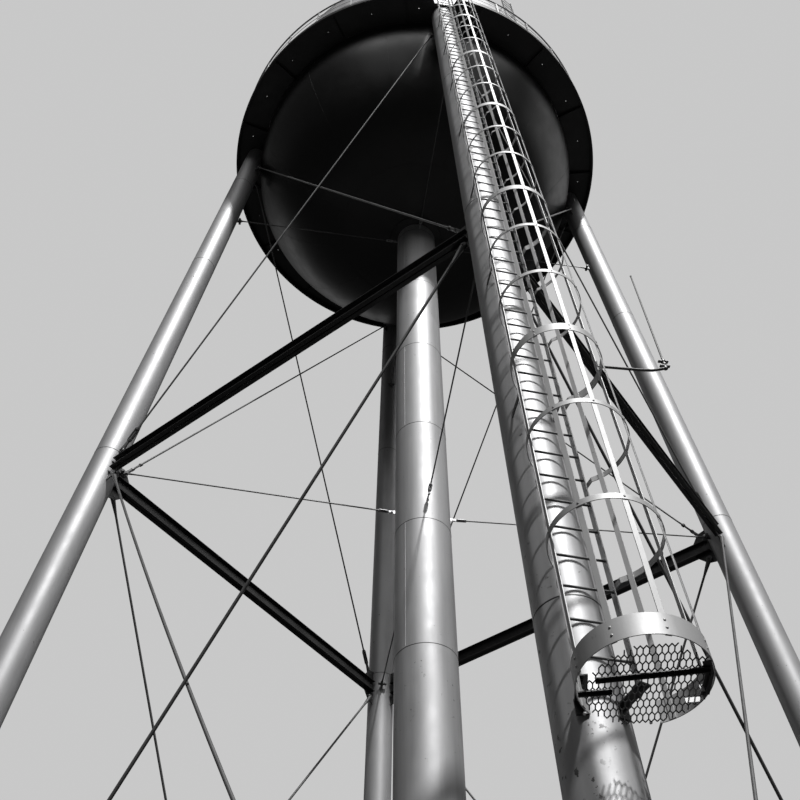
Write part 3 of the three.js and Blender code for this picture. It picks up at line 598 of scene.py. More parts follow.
def paint(name, colour, metallic, roughness, streak, chip, bump, specular=0.5,
          chip_colour=(0.03, 0.028, 0.026)):
    """Weathered paint: the colour is darkened in runs, chipped in spots, and its roughness
    and height follow the brushed grain."""
    material = bpy.data.materials.new(name)
    material.use_nodes = True
    tree = material.node_tree
    place = node(tree, "ShaderNodeTexCoord").outputs["Object"]
    streaks, chips, grain = (
        node(tree, "ShaderNodeGroup", {"Position": place, "Scale": scale},
             node_tree=bpy.data.node_groups[effect]).outputs
        for effect, scale in EFFECT_SCALES.items())
    dirty = [shade * (1 - streak) for shade in colour]
    painted = mixed(tree, streaks["Mask"], (*colour, 1), (*dirty, 1))
    chipped = calculated(tree, "MULTIPLY", chips["Mask"], chip)
    relief = node(tree, "ShaderNodeBump", {
        "Height": grain["Height"], "Strength": bump, "Distance": 0.004})
    wire(tree.nodes["Principled BSDF"], {
        "Base Color": mixed(tree, chipped, painted, (*chip_colour, 1)),
        "Metallic": metallic,
        "Specular IOR Level": specular,
        "Roughness": remapped(tree, grain["Wide"], 0, 1, roughness - 0.03, roughness + 0.03),
        "Normal": relief.outputs["Normal"]})


class PaintTower(bpy.types.Operator):
    """Mix the paints and the concrete"""

    bl_idname = "tower.paint"
    bl_label = "Mix Paints"

    def execute(self, context):
        for name, make in zip(EFFECT_SCALES, (dirt_streaks, paint_chips, brushed_grain)):
            effect_group(name, make)
        c = colours()
        paint("Silver paint", c.silver, metallic=0.5, roughness=0.54, streak=0.15, chip=0.8,
              bump=0.12)
        # Near-black painted shade with a gloss, for the bowl, the deck and the struts.
        paint("Shade black paint", c.shade_black, metallic=0.0, roughness=0.4, streak=0.3, chip=0.0,
              bump=0.06, specular=0.9)
        paint("Rod paint", c.rod, metallic=0.3, roughness=0.42, streak=0.3, chip=0.3, bump=0.1)
        paint("Cage paint", c.cage, metallic=0.5, roughness=0.55, streak=0.15, chip=0.3, bump=0.1)
        paint("Guard paint", c.rod, metallic=0.2, roughness=0.5, streak=0.3, chip=0.3, bump=0.1)
        paint("Rough concrete", c.concrete, metallic=0.0, roughness=0.9, streak=0.35, chip=0.5,
              bump=0.8, chip_colour=(0.12, 0.11, 0.1))
        finishes = {slot: material for material, slot in (SILVER, SHADE_FINISH, RODS, CAGE, CONCRETE)}
        slots = {row["node"]: row["material_slot"] for row in FRAME["record"]["subparts"]}
        for name, solid in FRAME["nodes"].items():
            for held in solid.material_slots:
                held.material = bpy.data.materials[finishes[slots[name]]]
        return {"FINISHED"}


# Pipes
def weld_rings(radius, levels):
    """Weld beads round a pipe: (R + w cos u, level + 7 mm sin u) carried round its axis."""
    u = circle(10)
    bead = np.column_stack([radius + sizes().weld_height * np.cos(u), 0.007 * np.sin(u)])
    return [revolved(bead + (0, level), sizes().pipe_sides) for level in levels]


def leg_pipe(bottom, top):
    """A leaning pipe cut level at both ends: (R cos t, R sin t, h) along the leg, where h at
    the ends is (z + R sin t sin a) / cos a for the level z and the lean a."""
    t = circle(sizes().pipe_sides)
    x, y = LEG_RADIUS * np.cos(t), LEG_RADIUS * np.sin(t)
    lean = y * math.sin(LEG_TILT)
    heights = np.linspace(along_leg(bottom + lean), along_leg(top + lean), 40)
    return loft(np.stack([x + 0 * heights, y + 0 * heights, heights], -1))


def gusset_outlines(side):
    """Outlines of a leg's three gussets in its face: at the panel, the top and the base."""
    def around(z):
        x, _, level = lug_point(side, z)
        return disc(x, level, EYE_RADIUS + 0.012)

    def axis(z):
        return (side * half_face(z), z)

    nose = side * (half_face(PANEL_LEVEL) - LEG_RADIUS - 0.33)
    panel = np.vstack([
        axis(PANEL_LEVEL + 0.42), axis(PANEL_LEVEL - 0.42),
        around(PANEL_LEVEL + PANEL_LUG_OFFSET), around(PANEL_LEVEL - PANEL_LUG_OFFSET),
        (nose, PANEL_LEVEL + 0.095), (nose, PANEL_LEVEL - 0.095)])
    single = [np.vstack([axis(z + 0.19), axis(z - 0.19), around(z)])
              for z in (TOP_LUG_LEVEL, BASE_LUG_LEVEL)]
    return [convex(points) for points in (panel, *single)]


def leg_base(k):
    """Base plate, ribs and anchor bolts of leg k."""
    foot = PIER_TOP_LEVEL + SEAT
    top = foot + BASE_PLATE_THICK
    half = BASE_PLATE / 2
    root = 0.2
    tip = half - 0.02
    bolt = half - 0.09
    rib = [(root, top - 0.001), (tip, top - 0.001), (tip, top + 0.04),
           (LEG_RADIUS + 0.03, top + RIB_HEIGHT), (root, top + RIB_HEIGHT)]
    corners = np.array([[x, y, top] for x in (-bolt, bolt) for y in (-bolt, bolt)])
    made = [square_block(half, foot, top), *four_ways([upright_plate(rib, RIB_THICK)]),
            *bolts(corners, UP, 0.03), round_bars(corners, corners + 0.075 * UP, 0.015)]
    return moved_all(made, quarter(k) @ shift(0, leg_place(foot), 0))


def leg_gussets(k):
    """Gussets and stay lugs of leg k."""
    made = [moved(upright_plate(outline, GUSSET_THICK), face_frame(face))
            for side, face in ((-1, k), (1, k - 1)) for outline in gusset_outlines(side)]
    for level in (PANEL_LEVEL, UPPER_STAY_LEVEL):
        root, wall = leg_place(level) + 0.2, leg_place(level) + LEG_RADIUS
        lug = [(root, level - 0.05), (wall + 0.09, level - 0.05), (wall + 0.12, level - 0.02),
               (wall + 0.12, level + 0.02), (wall + 0.09, level + 0.05), (root, level + 0.05)]
        made.append(moved(radial_plate(lug, LEG_LUG_THICK), quarter(k)))
    return made


class BuildLegs(bpy.types.Operator):
    """Build the leg pipes with their welds, base plates, gussets and lugs"""

    bl_idname = "tower.legs"
    bl_label = "Build Legs"

    def execute(self, context):
        foot = PIER_TOP_LEVEL + SEAT + BASE_PLATE_THICK - 0.001
        for k, side in enumerate(SIDES):
            here, nodes = leg_frame(k), [f"leg_{side}"]
            piece(f"leg_pipe_{side}", [leg_pipe(foot, LEG_TOP)], SILVER, nodes, here)
            piece(f"leg_welds_{side}", weld_rings(LEG_RADIUS, LEG_SEAMS), WELDS, nodes, here)
            piece(f"leg_base_{side}", leg_base(k), SILVER, nodes, bevel=0.002)
            piece(f"leg_gussets_{side}", leg_gussets(k), SHADE_FINISH, nodes, bevel=0.002)
        return {"FINISHED"}


class BuildRiser(bpy.types.Operator):
    """Build the riser with its weld seams and its bolted foot"""

    bl_idname = "tower.riser"
    bl_label = "Build Riser"

    def execute(self, context):
        foot = PIER_TOP_LEVEL + SEAT
        flange, neck = foot + FLANGE_THICK, foot + 0.045
        levels = np.linspace(foot + 0.06, RISER_TOP - 0.02, 40)
        profile = np.vstack([
            (RISER_BORE, foot), (FLANGE_RADIUS - 0.005, foot), (FLANGE_RADIUS, foot + 0.005),
            (FLANGE_RADIUS, flange - 0.002), (FLANGE_RADIUS - 0.004, flange),
            (RISER_RADIUS + 0.012, flange), (RISER_RADIUS, neck),
            np.column_stack([0 * levels + RISER_RADIUS, levels]),
            (RISER_RADIUS, RISER_TOP), (RISER_BORE, RISER_TOP)])
        made = [revolved(profile, sizes().pipe_sides, closed=False),
                *bolts(ring_points(FLANGE_BOLTS, circle(20) + 0.1, flange), UP, 0.02)]
        ends = np.array([neck, *RISER_SEAMS, RISER_TOP])
        bearings = np.radians(np.resize(RISER_SEAM_BEARINGS, len(ends) - 1))
        made.append(round_bars(ring_points(RISER_RADIUS, bearings, ends[:-1] + 0.01),
                               ring_points(RISER_RADIUS, bearings, ends[1:] - 0.01), 0.004, 8))
        piece("riser_pipe", made, SILVER, ["riser"])
        piece("riser_welds", weld_rings(RISER_RADIUS, RISER_SEAMS), WELDS, ["riser"])
        return {"FINISHED"}


# Rods
def eye_ends(points, axis, thickness, radius):
    """Forged eyes: turned discs with rounded rims on points, with a bolt through each."""
    t, r = thickness / 2, radius
    profile = [(-t, 0.7 * r), (-t, 0.86 * r), (-0.72 * t, 0.96 * r), (-0.3 * t, r), (0.3 * t, r),
               (0.72 * t, 0.96 * r), (t, 0.86 * r), (t, 0.7 * r)]
    pin = [(-t - 0.32 * r, 0.3 * r), (-t - 0.3 * r, 0.34 * r), (-t - 0.01, 0.34 * r),
           (t + 0.012, 0.34 * r), (t + 0.3 * r, 0.34 * r), (t + 0.32 * r, 0.3 * r)]
    return [turned(points, axis, profile, 28), turned(points, axis, pin, 6)]


def turnbuckle(start, run, length, r, side):
    """An open turnbuckle: a hexagon nut at each end and two side bars between them."""
    ends = np.array([start, start + run * (length - 3.2 * r)])
    nut = [(0, 1.7 * r), (0.3 * r, 2 * r), (2.9 * r, 2 * r), (3.2 * r, 1.7 * r)]
    offset = side * r * 1.75
    a, b = start + run * 1.5 * r, start + run * (length - 1.5 * r)
    bars = beams([a + offset, a - offset], [b + offset, b - offset], r * 0.8, r * 1.3, side)
    return [turned(ends, run, nut, 6), bars]


def tie_rod(low, high, offset, radius, sag):
    """A tie rod in its face: c(s) = a + s (b - a) - 4 sag s (1 - s) z, thicker at the necks."""
    square = np.array([0, 1.0, 0])
    low, high = low + offset * square, high + offset * square
    length = np.linalg.norm(high - low)

    def centre(s):
        return low + s[:, None] * (high - low) - (4 * sag * s * (1 - s))[:, None] * UP

    s = np.concatenate([[0.002, 0.008, 0.016, 0.024], np.linspace(0.04, 0.96, 24),
                        [0.976, 0.984, 0.992, 0.998]])
    path = centre(s)
    near_end = np.minimum(s, 1 - s) * length
    thick = radius * (1 + 1.3 * np.clip(1 - near_end / 0.34, 0, 1))
    return [swept_round(path, thick, 12, square),
            *eye_ends(np.array([low, high]), square, EYE_THICK, EYE_RADIUS),
            *turnbuckle(centre(np.array([0.2 / length]))[0], unit(path[8] - path[0]), 0.3,
                        radius * 1.05, square)]


class BuildRods(bpy.types.Operator):
    """Build the sixteen tie rods with their eyes and turnbuckles"""

    bl_idname = "tower.rods"
    bl_label = "Build Tie Rods"

    def execute(self, context):
        tiers = {"upper": (PANEL_LEVEL + PANEL_LUG_OFFSET, TOP_LUG_LEVEL),
                 "lower": (BASE_LUG_LEVEL, PANEL_LEVEL - PANEL_LUG_OFFSET)}
        for k, here in enumerate(SIDES):
            ahead = SIDES[(k + 1) % 4]
            for tier, (low, high) in tiers.items():
                for side, top, foot in ((-1, ahead, here), (1, here, ahead)):
                    slack = (tier, here, side) == ("lower", "left", 1)
                    rod = tie_rod(lug_point(side, low), lug_point(-side, high),
                                  side * EYE_OFFSET, ROD_RADIUS[tier], SLACK_SAG if slack else 0)
                    piece(f"tie_rod_{tier}_{top}_to_{foot}", rod, RODS,
                          [f"{tier}_rod_{top}_to_{foot}"], face_frame(k))
        return {"FINISHED"}


class BuildStays(bpy.types.Operator):
    """Build the crosses of stays that hold the riser"""

    bl_idname = "tower.stays"
    bl_label = "Build Riser Stays"

    def execute(self, context):
        lugs, buckles, crosses = [], [], []
        across = np.array([1.0, 0, 0])
        stations = np.array([0, 0.004, 0.012, 0.02, 0.3, 0.6, 0.95, 0.98, 0.99, 1.0])[:, None]
        thick = np.array([1, 1, 1, 1, 1, 1, 1, 1.5, 1.9, 1.9]) * STAY_RADIUS
        outline = np.array([(-0.08, -0.018), (-0.072, -0.026), (0.003, -0.045), (0.003, 0.045),
                            (-0.072, 0.026), (-0.08, 0.018)])
        for name, level, leg_level in (("lower", LOWER_COLLAR_LEVEL, PANEL_LEVEL),
                                       ("upper", UPPER_STAY_LEVEL, UPPER_STAY_LEVEL)):
            pin = np.array([STAY_OFFSET, -RISER_RADIUS - 0.058, level])
            end = np.array([STAY_OFFSET, leg_place(leg_level) + LEG_RADIUS + 0.072, leg_level])
            run = unit(end - pin)
            first = pin + run * 0.06
            stay = [swept_round(first + stations * (end - first), thick, 10, across),
                    *eye_ends([end], across, 0.05, 0.055),
                    round_bars(end - 0.09 * across, end + 0.07 * across, 0.028)]
            jaws = pin - run * 0.02 + [[-0.012, 0, 0], [0.012, 0, 0]]
            buckles += four_ways([
                beams(jaws, jaws + run * 0.08, 0.036, 0.006, across),
                *bolts(pin + 0.015 * across, across, 0.013),
                *turnbuckle(pin + run * 0.055, run, 0.17, 0.013, across)])
            lugs += four_ways([radial_plate(outline + (-RISER_RADIUS, level), 0.016, STAY_OFFSET)])
            crosses.append(f"riser_stays_{name}")
            piece(f"stay_cross_{name}", four_ways(stay), RODS, crosses[-1:])
        piece("stay_lugs", lugs, SILVER, crosses, bevel=0.002)
        piece("stay_turnbuckles", buckles, SILVER, crosses)
        return {"FINISHED"}


# Tank
def bowl_arc(radius, depth, rows):
    """The bowl's section: ((R - e) sin a, rim - (d - e) cos a) from the riser's hole to the rim,
    where e = k m sin^12 a cos^2 a draws the knuckle in by k at most, as m is 1 over the
    highest value of sin^12 a cos^2 a."""
    a = np.linspace(math.asin((RISER_RADIUS + SEAT) / radius), math.pi / 2, rows)
    drawn_in = BOWL_KNUCKLE * KNUCKLE_SCALE * np.sin(a) ** 12 * np.cos(a) ** 2
    return np.column_stack([(radius - drawn_in) * np.sin(a),
                            BOWL_RIM_LEVEL - (depth - drawn_in) * np.cos(a)])


def meridian_welds(arc, bearings, radius=0.006):
    """Weld beads that follow a section (r, z) at each bearing, half sunk in the plate."""
    return [swept_round(ring_points(arc[:, 0], bearing, arc[:, 1]), radius, 6,
                        (-math.sin(bearing), math.cos(bearing), 0)) for bearing in bearings]


def ring_weld(radius, level, bead=0.006):
    """A weld bead round the tank: a small circle carried round a big one."""
    return revolved(disc(radius, level, bead, 8), sizes().tank_sides)


def course(low, high):
    """A plain ring of plate between two levels."""
    wall = [(TANK_RADIUS - TANK_PLATE, high), (TANK_RADIUS - TANK_PLATE, low)]
    wall += [(TANK_RADIUS, z) for z in np.linspace(low, high, 10)]
    return revolved(wall, sizes().tank_sides)


class BuildTank(bpy.types.Operator):
    """Build the bowl, the shell and the roof with their weld seams"""

    bl_idname = "tower.tank"
    bl_label = "Build Tank"

    def execute(self, context):
        sides, twelfths = sizes().tank_sides, np.arange(12) * math.pi / 6
        outer = bowl_arc(TANK_RADIUS, BOWL_DEPTH, 48)
        inner = bowl_arc(TANK_RADIUS - TANK_PLATE, BOWL_DEPTH - TANK_PLATE, 24)[::-1]
        seam = bowl_arc(TANK_RADIUS, BOWL_DEPTH, 30)[7:]
        # The bowl wears the near-black painted shade.
        piece("bowl_plates", [
            revolved(np.vstack([outer, inner]), sides),
            *meridian_welds(seam[:-1], twelfths + 0.2, 0.003),
            ring_weld(*seam[0], 0.004), ring_weld(*seam[-1]),
            revolved(BOWL_COLLAR, sizes().pipe_sides)], SHADE_FINISH, ["tank_bowl"])

        levels = np.linspace(BALCONY_FLOOR - 0.02, SHELL_TOP, SHELL_COURSES + 1)
        made = [course(levels[0], SHELL_TOP), *(ring_weld(TANK_RADIUS, z) for z in levels[1:-1])]
        for i, (low, high) in enumerate(zip(levels[:-1], levels[1:])):
            upright = np.column_stack([np.full(4, TANK_RADIUS), np.linspace(low, high, 4)])
            made += meridian_welds(upright, np.arange(8) * math.pi / 4 + 0.26 * i + 0.1)
        piece("shell_plates", made, SILVER, ["tank_shell"])
        # The strip of shell between the bowl's rim and the deck wears the near-black painted shade,
        # where the balcony shades it.
        piece("shell_skirt_shade", [course(BOWL_RIM_LEVEL, levels[0])], SHADE_FINISH, ["tank_shell"])

        a = np.linspace(math.pi / 2, math.asin(ROOF_CAP_RADIUS / TANK_RADIUS), 40)
        dome = np.column_stack([TANK_RADIUS * np.sin(a), SHELL_TOP + SEAT + ROOF_RISE * np.cos(a)])
        under = (dome * (0.9976, 1) - (0, ROOF_PLATE))[::-1]
        lip = dome[-1, 1] + 0.02
        cap = [(ROOF_CAP_RADIUS, lip), (0.04, lip), (0.04, under[0, 1])]
        piece("roof_plates", [
            revolved(np.vstack([dome, cap, under]), sides),
            *meridian_welds(dome[1:-2], twelfths + 0.15),
            ring_weld(*dome[0]), ring_weld(*dome[22])], SILVER, ["tank_roof"])
        return {"FINISHED"}


def vent():
    """The vent: a flanged neck with louvre rings under a hood, which is (R cos t + 20 mm s,
    200 mm sin t) from 60 mm above the neck's top, with t = s pi / 2 and s from 0 to 1."""
    foot = VENT_BASE + 2 * SEAT
    flange, neck = foot + 0.016, foot + 0.30
    s = np.linspace(0, 1, 9)
    hood = np.column_stack([VENT_HOOD * np.cos(s * math.pi / 2) + 0.02 * s,
                            neck + 0.06 + 0.2 * np.sin(s * math.pi / 2)])
    stem = [(0.02, foot), (0.29, foot), (0.29, flange), (VENT_NECK, flange),
            (VENT_NECK, neck - 0.04), (0.40, neck), (0.425, neck), (VENT_HOOD, neck + 0.06)]
    louvre = np.array([(0, 0), (0.015, -0.012), (0.017, -0.01), (0.002, 0.004)])
    return [revolved(np.vstack([stem, hood]), 64, closed=False),
            *bolts(ring_points(0.262, circle(12), flange), UP, 0.011),
            *(revolved(louvre + (VENT_NECK, level), 48)
              for level in np.arange(foot + 0.05, neck - 0.05, 0.028))]


def hatch():
    """The hatch's curb, lid, hinge bar and grip, in a frame that lies on the roof's slope."""
    grip = np.array([[0.3, -0.08, 0.18], [0.3, -0.08, 0.215], [0.3, -0.06, 0.235]])
    return [square_block(0.36, -0.12, 0.13), square_block(0.385, 0.13, 0.19),
            round_bars((-0.39, -0.3, 0.15), (-0.39, 0.3, 0.15), 0.012),
            swept_round([*grip, *(grip * (1, -1, 1))[::-1]], 0.007, 8, (1, 0, 0))]


def rungs(half, y, levels):
    """Round rungs across a ladder, from -half to half."""
    ends = np.column_stack([0 * levels + half, 0 * levels + y, levels])
    return round_bars(ends * (-1, 1, 1), ends, RUNG_RADIUS)


def side_ladder():
    """The ladder up the shell: two rails with three tabs each, and rungs."""
    y = -TANK_RADIUS - SIDE_LADDER_STANDOFF
    low, high = BALCONY_FLOOR + SEAT, BALCONY_FLOOR + SIDE_LADDER_HEIGHT
    made = []
    for x in (-0.2, 0.2):
        tabs = np.array([[x, y, low + z] for z in (0.5, 2.2, 3.9)])
        made += [beams((x, y, low), (x, y, high), 0.01, 0.05, (0, 1, 0)),
                 beams(tabs, tabs + (0, 0.195, 0), 0.01, 0.05, UP)]
    return [*made, rungs(0.205, y, np.arange(low + 0.25, high - 0.1, RUNG_SPACING))]


class BuildRoofFittings(bpy.types.Operator):
    """Build the roof's vent, its hatch and the ladder up the shell"""

    bl_idname = "tower.roof_fittings"
    bl_label = "Build Roof Fittings"

    def execute(self, context):
        piece("vent_hood", vent(), SILVER, ["roof_vent"])
        reach = HATCH_REACH / TANK_RADIUS
        rise = math.sqrt(1 - reach ** 2)
        slope = math.atan(ROOF_RISE / TANK_RADIUS * reach / rise)
        place = shift(HATCH_REACH, 0, SHELL_TOP + ROOF_RISE * rise)
        piece("hatch_lid", hatch(), SILVER, ["roof_hatch"],
              turn_z(HATCH_BEARING) @ place @ turn_y(slope), bevel=0.004)
        piece("shell_ladder", side_ladder(), CAGE, ["tank_ladder"], turn_z(SIDE_LADDER_TURN),
              bevel=0.001)
        return {"FINISHED"}


# Balcony
def deck_plates():
    """Plates of the ring deck, each a sector with one drain hole: between the sector's rim
    points b(t) and the hole's circle c(t) the plate is c + w (b - c), w from 0 to 1. The
    first and the last plate stop at the ladder's notch."""
    inner, outer, half = TANK_RADIUS + SEAT, BALCONY_RADIUS - 0.0085, math.pi / DECK_PLATES
    a = np.linspace(-half, half, 13)
    steps = np.linspace(outer, inner, 7)[1:-1]
    rim = np.vstack([outer * np.column_stack([np.cos(a), np.sin(a)]),
                     steps[:, None] * (math.cos(half), math.sin(half)),
                     inner * np.column_stack([np.cos(a[::-1]), np.sin(a[::-1])]),
                     steps[::-1, None] * (math.cos(half), -math.sin(half))])
    rims = np.repeat(rim[None], DECK_PLATES, 0)
    depth = outer - DECK_NOTCH_DEPTH
    corner = np.array([(depth, x) for x in (0.0, 0.35 * DECK_NOTCH, 0.7 * DECK_NOTCH)])
    edge = np.column_stack([np.linspace(inner, depth, 7)[1:-1], np.zeros(5)])
    back = np.array([[math.cos(half), -math.sin(half)], [math.sin(half), math.cos(half)]])
    rims[0, :3], rims[0, -5:] = corner @ back, edge @ back
    rims[-1] = (rims[0] * (1, -1))[(12 - np.arange(len(rim))) % len(rim)]
    angle = np.arctan2(rims[..., 1], rims[..., 0] - DRAIN_REACH)
    hole = np.stack([DRAIN_REACH + DRAIN_RADIUS * np.cos(angle), DRAIN_RADIUS * np.sin(angle)], -1)
    w = np.array([1, 0.5, 0.15, 0])[:, None, None, None]
    top = hole + w * (rims - hole)
    x, y = np.moveaxis(np.concatenate([top, top[::-1]]), -1, 0)
    z = BALCONY_FLOOR - np.array([0] * 4 + [DECK_THICK] * 4)[:, None, None] + 0 * x
    bearing = (-math.pi / 2 + half + np.arange(DECK_PLATES) * 2 * half)[None, :, None]
    placed = np.stack([np.cos(bearing) * x - np.sin(bearing) * y,
                       np.sin(bearing) * x + np.cos(bearing) * y, z], -1)
    return loft(placed.transpose(1, 0, 2, 3), True)


def flat_rail(start, stop, level, steps):
    """A flat rail: a 10 by 36 mm rectangle carried round the balcony."""
    section = np.array([(-0.022, -0.018), (-0.012, -0.018), (-0.012, 0.018), (-0.022, 0.018)])
    angles = np.radians(np.linspace(start, stop, steps))
    return carried_round(section + (RAIL_RADIUS, level), angles)


def rail_posts(bearings):
    """Angle posts on small feet, with a bolt at each flat rail."""
    out = ring_points(1, bearings, 0)
    side = out[:, [1, 0, 2]] * (-1, 1, 0)
    foot = out * RAIL_RADIUS + (BALCONY_FLOOR + 0.0005) * UP
    head = foot + (RAIL_HEIGHT - 0.025) * UP
    leaf, edge = 0.006, side * 0.019 + out * 0.019
    made = [beams(foot + out * 0.003, head + out * 0.003, 0.044, leaf, out),
            beams(foot - edge, head - edge, leaf, 0.038, out),
            beams(foot - side * 0.035, foot + side * 0.035, 0.07, 0.008, UP)]
    for share in FLAT_RAIL_SHARES:
        made += bolts(foot - out * 0.022 + share * RAIL_HEIGHT * UP, -out, 0.009)
    return made


class BuildBalcony(bpy.types.Operator):
    """Build the balcony's deck with its drain holes, its curb and its railing"""

    bl_idname = "tower.balcony"
    bl_label = "Build Balcony"

    def execute(self, context):
        f, c, r, wall = BALCONY_FLOOR, CURB_BOTTOM, BALCONY_RADIUS, TANK_RADIUS + 0.001
        under = f - DECK_THICK
        notch = math.degrees(math.asin(DECK_NOTCH / r))
        section = np.array([(r - CURB_THICK, c + CURB_THICK), (r - 0.05, c + CURB_THICK),
                            (r - 0.05, c), (r, c), (r, f), (r - CURB_THICK, f)])
        curb = carried_round(section, np.radians(np.linspace(-90 + notch, 270 - notch, 260)))
        rib = upright_plate([(wall, under), (wall, f - 0.16), (r - 0.05, f - 0.09),
                             (r - 0.009, f - 0.09), (r - 0.009, under)], 0.010)
        bearings = np.radians(np.arange(16) * 22.5 + 11.25)
        # The deck wears the near-black painted shade.
        piece("balcony_deck", [deck_plates(), curb, *(moved(rib, turn_z(b)) for b in bearings)],
              SHADE_FINISH, ["balcony_floor"])

        pitch, inset = 360 / RAIL_POSTS, 0.003
        where = np.arange(-90 + pitch / 2, 270, pitch)
        for name, start, stop in (("front_right", -90 + pitch / 2, 0), ("back_right", 0, 90),
                                  ("back_left", 90, 180), ("front_left", 180, 270 - pitch / 2)):
            span, steps = (start + inset, stop - inset), int((stop - start) / 2) + 1
            top = ring_points(RAIL_RADIUS, np.radians(np.linspace(*span, steps)),
                              f + RAIL_HEIGHT - TOP_RAIL)
            here = where[(where > start - 0.01) & (where < stop + 0.01)]
            made = [swept_round(top, TOP_RAIL),
                    *(flat_rail(*span, f + share * RAIL_HEIGHT, steps)
                      for share in FLAT_RAIL_SHARES),
                    *rail_posts(np.radians(here))]
            piece(f"rails_{name}", made, CAGE, [f"railing_{name}"], bevel=0.001)
        return {"FINISHED"}


# Ladder, cage and guard
def foot_bracket(side):
    """Wide flat bar from a rail's foot in to the leg, and the plate that holds it there."""
    level = along_leg(LADDER_FOOT) + 0.045
    rail, leg = (np.array([side * x, y, level]) for x, y in FOOT_BRACKET)
    inward = (leg - rail) * (1, 1, 0)
    return [beams(rail - inward * 0.12, leg, 0.078, 0.012, UP),
            beams(leg - 0.095 * UP, leg + 0.02 * UP, 0.085, 0.016, inward),
            *bolts(rail - 0.006 * UP, -UP, 0.012)]


class BuildLadder(bpy.types.Operator):
    """Build the ladder's rails, rungs and brackets on the near leg"""

    bl_idname = "tower.ladder"
    bl_label = "Build Ladder"

    def execute(self, context):
        low, high, y = along_leg(LADDER_FOOT), along_leg(LADDER_TOP), -LADDER_STANDOFF
        levels = along_leg(np.arange(BRACKET_FOOT, BOWL_RIM_LEVEL, BRACKET_SPACING))
        edge = y + 0.033
        rails, held = [], []
        for side in (-1, 1):
            x = side * LADDER_HALF_WIDTH
            back = 0.004 - math.sqrt(LEG_RADIUS ** 2 - (x + LADDER_SHIFT) ** 2)
            starts = np.column_stack([0 * levels + x, 0 * levels + edge, levels])
            held += [beams(starts, starts + (0, back - edge, 0), 0.010, 0.06, UP),
                     *bolts(starts + (side * 0.005, -0.021, 0), (side, 0, 0), 0.011),
                     *foot_bracket(side)]
            splices = starts[::2] + (side * 0.008, -0.033, 0.55)
            rails += [beams((x, y, low), (x, y, high), 0.010, 0.064, (0, 1, 0)),
                      beams(splices - 0.15 * UP, splices + 0.15 * UP, 0.008, 0.056, (0, 1, 0))]
            for dz in (-0.1, 0.1):
                rails += bolts(splices + (side * 0.004, 0, dz), (side, 0, 0), 0.009)
        steps = np.arange(along_leg(LOWEST_RUNG), high - 0.06, RUNG_SPACING)
        piece("ladder_rails", rails, LADDER, ["ladder"], LADDER_FRAME, bevel=0.001)
        piece("ladder_rungs", [rungs(LADDER_HALF_WIDTH + 0.008, y, steps)], LADDER, ["ladder"],
              LADDER_FRAME)
        piece("ladder_brackets", held, SHADE_FINISH, ["ladder"], LADDER_FRAME, bevel=0.001)
        return {"FINISHED"}


def hoop_path():
    """Plan of a hoop from the left rail round to the right one: straight tails, then
    (R sin t, -c - R cos t), with t running between the tail angles."""
    t = np.radians(np.linspace(-TAIL_ANGLE, TAIL_ANGLE, 73))
    arc = np.column_stack([CAGE_RADIUS * np.sin(t), -CAGE_CENTRE - CAGE_RADIUS * np.cos(t)])
    x = LADDER_HALF_WIDTH + 0.0056 + HOOP_THICK
    tail = np.array([(x, -LADDER_STANDOFF - 0.030), (x, -LADDER_STANDOFF + 0.028)])
    return np.vstack([tail[::-1] * (-1, 1), arc, tail])


def straps(path, heights, levels):
    """Flat hoops: a thin rectangle, its outer face on the path, carried along it; the inner
    face is offset by the thickness along the path's left normal."""
    run = unit(np.gradient(path, axis=0))
    inner = path + np.column_stack([-run[:, 1], run[:, 0]]) * HOOP_THICK
    low, high = (levels - heights / 2)[:, None, None], (levels + heights / 2)[:, None, None]

    def at(line, z):
        plan = np.broadcast_to(line, (len(levels),) + line.shape)
        return np.concatenate([plan, np.broadcast_to(z, plan.shape[:2] + (1,))], -1)

    return loft(np.stack([at(path, low), at(inner, low), at(inner, high), at(path, high)], 2))


def cage_side(angle):
    """The way out of the cage at an angle from its front, and the hoops' face there."""
    out = np.array([math.sin(angle), -math.cos(angle), 0])
    return out, np.array([0, -CAGE_CENTRE, 0]) + out * CAGE_RADIUS


class BuildCage(bpy.types.Operator):
    """Build the safety cage: hoops, upright bars and their rivets"""

    bl_idname = "tower.cage"
    bl_label = "Build Cage"

    def execute(self, context):
        levels = along_leg(CAGE_FOOT) + FOOT_BAND / 2 + HOOP_RISES
        heights = np.resize(HOOP_HEIGHTS, len(levels))
        heights[0] = FOOT_BAND
        path = hoop_path()
        hoops = [straps(path, heights[1:], levels[1:]),
                 straps(path[2:-2], heights[:1], levels[:1])]
        low, high = along_leg(CAGE_FOOT) * UP, (levels[-1] + 0.051) * UP
        rows = levels[:, None] + np.where(heights > 0.09, 0.028, 0.0)[:, None] * [[-1, 1]]
        dome = [(-0.001, 0.009), (0.002, 0.0085), (0.0045, 0.006), (0.0055, 0.003)]
        bars = []
        for angle in np.radians(np.arange(-3, 4) * CAGE_BAR_STEP):
            out, face = cage_side(angle)
            middle = face - out * (HOOP_THICK + CAGE_BAR_THICK / 2 + SEAT)
            bars.append(beams(middle + low, middle + high, 0.038, CAGE_BAR_THICK, out))
            spots = np.column_stack([np.full((rows.size, 2), face[:2]), rows.ravel()])
            hoops.append(turned(spots, out, dome, 8))
        for side in (-1, 1):
            x = side * (LADDER_HALF_WIDTH + 0.0116)
            spots = np.column_stack([0 * levels + x, 0 * levels - LADDER_STANDOFF, levels])
            hoops += bolts(spots, (side, 0, 0), 0.010)
        panels = ["cage_left", "cage_front_left", "cage_front", "cage_front_right", "cage_right"]
        piece("cage_hoops", hoops, CAGE, panels, LADDER_FRAME)
        piece("cage_bars", bars, CAGE, panels, LADDER_FRAME, bevel=0.001)
        return {"FINISHED"}


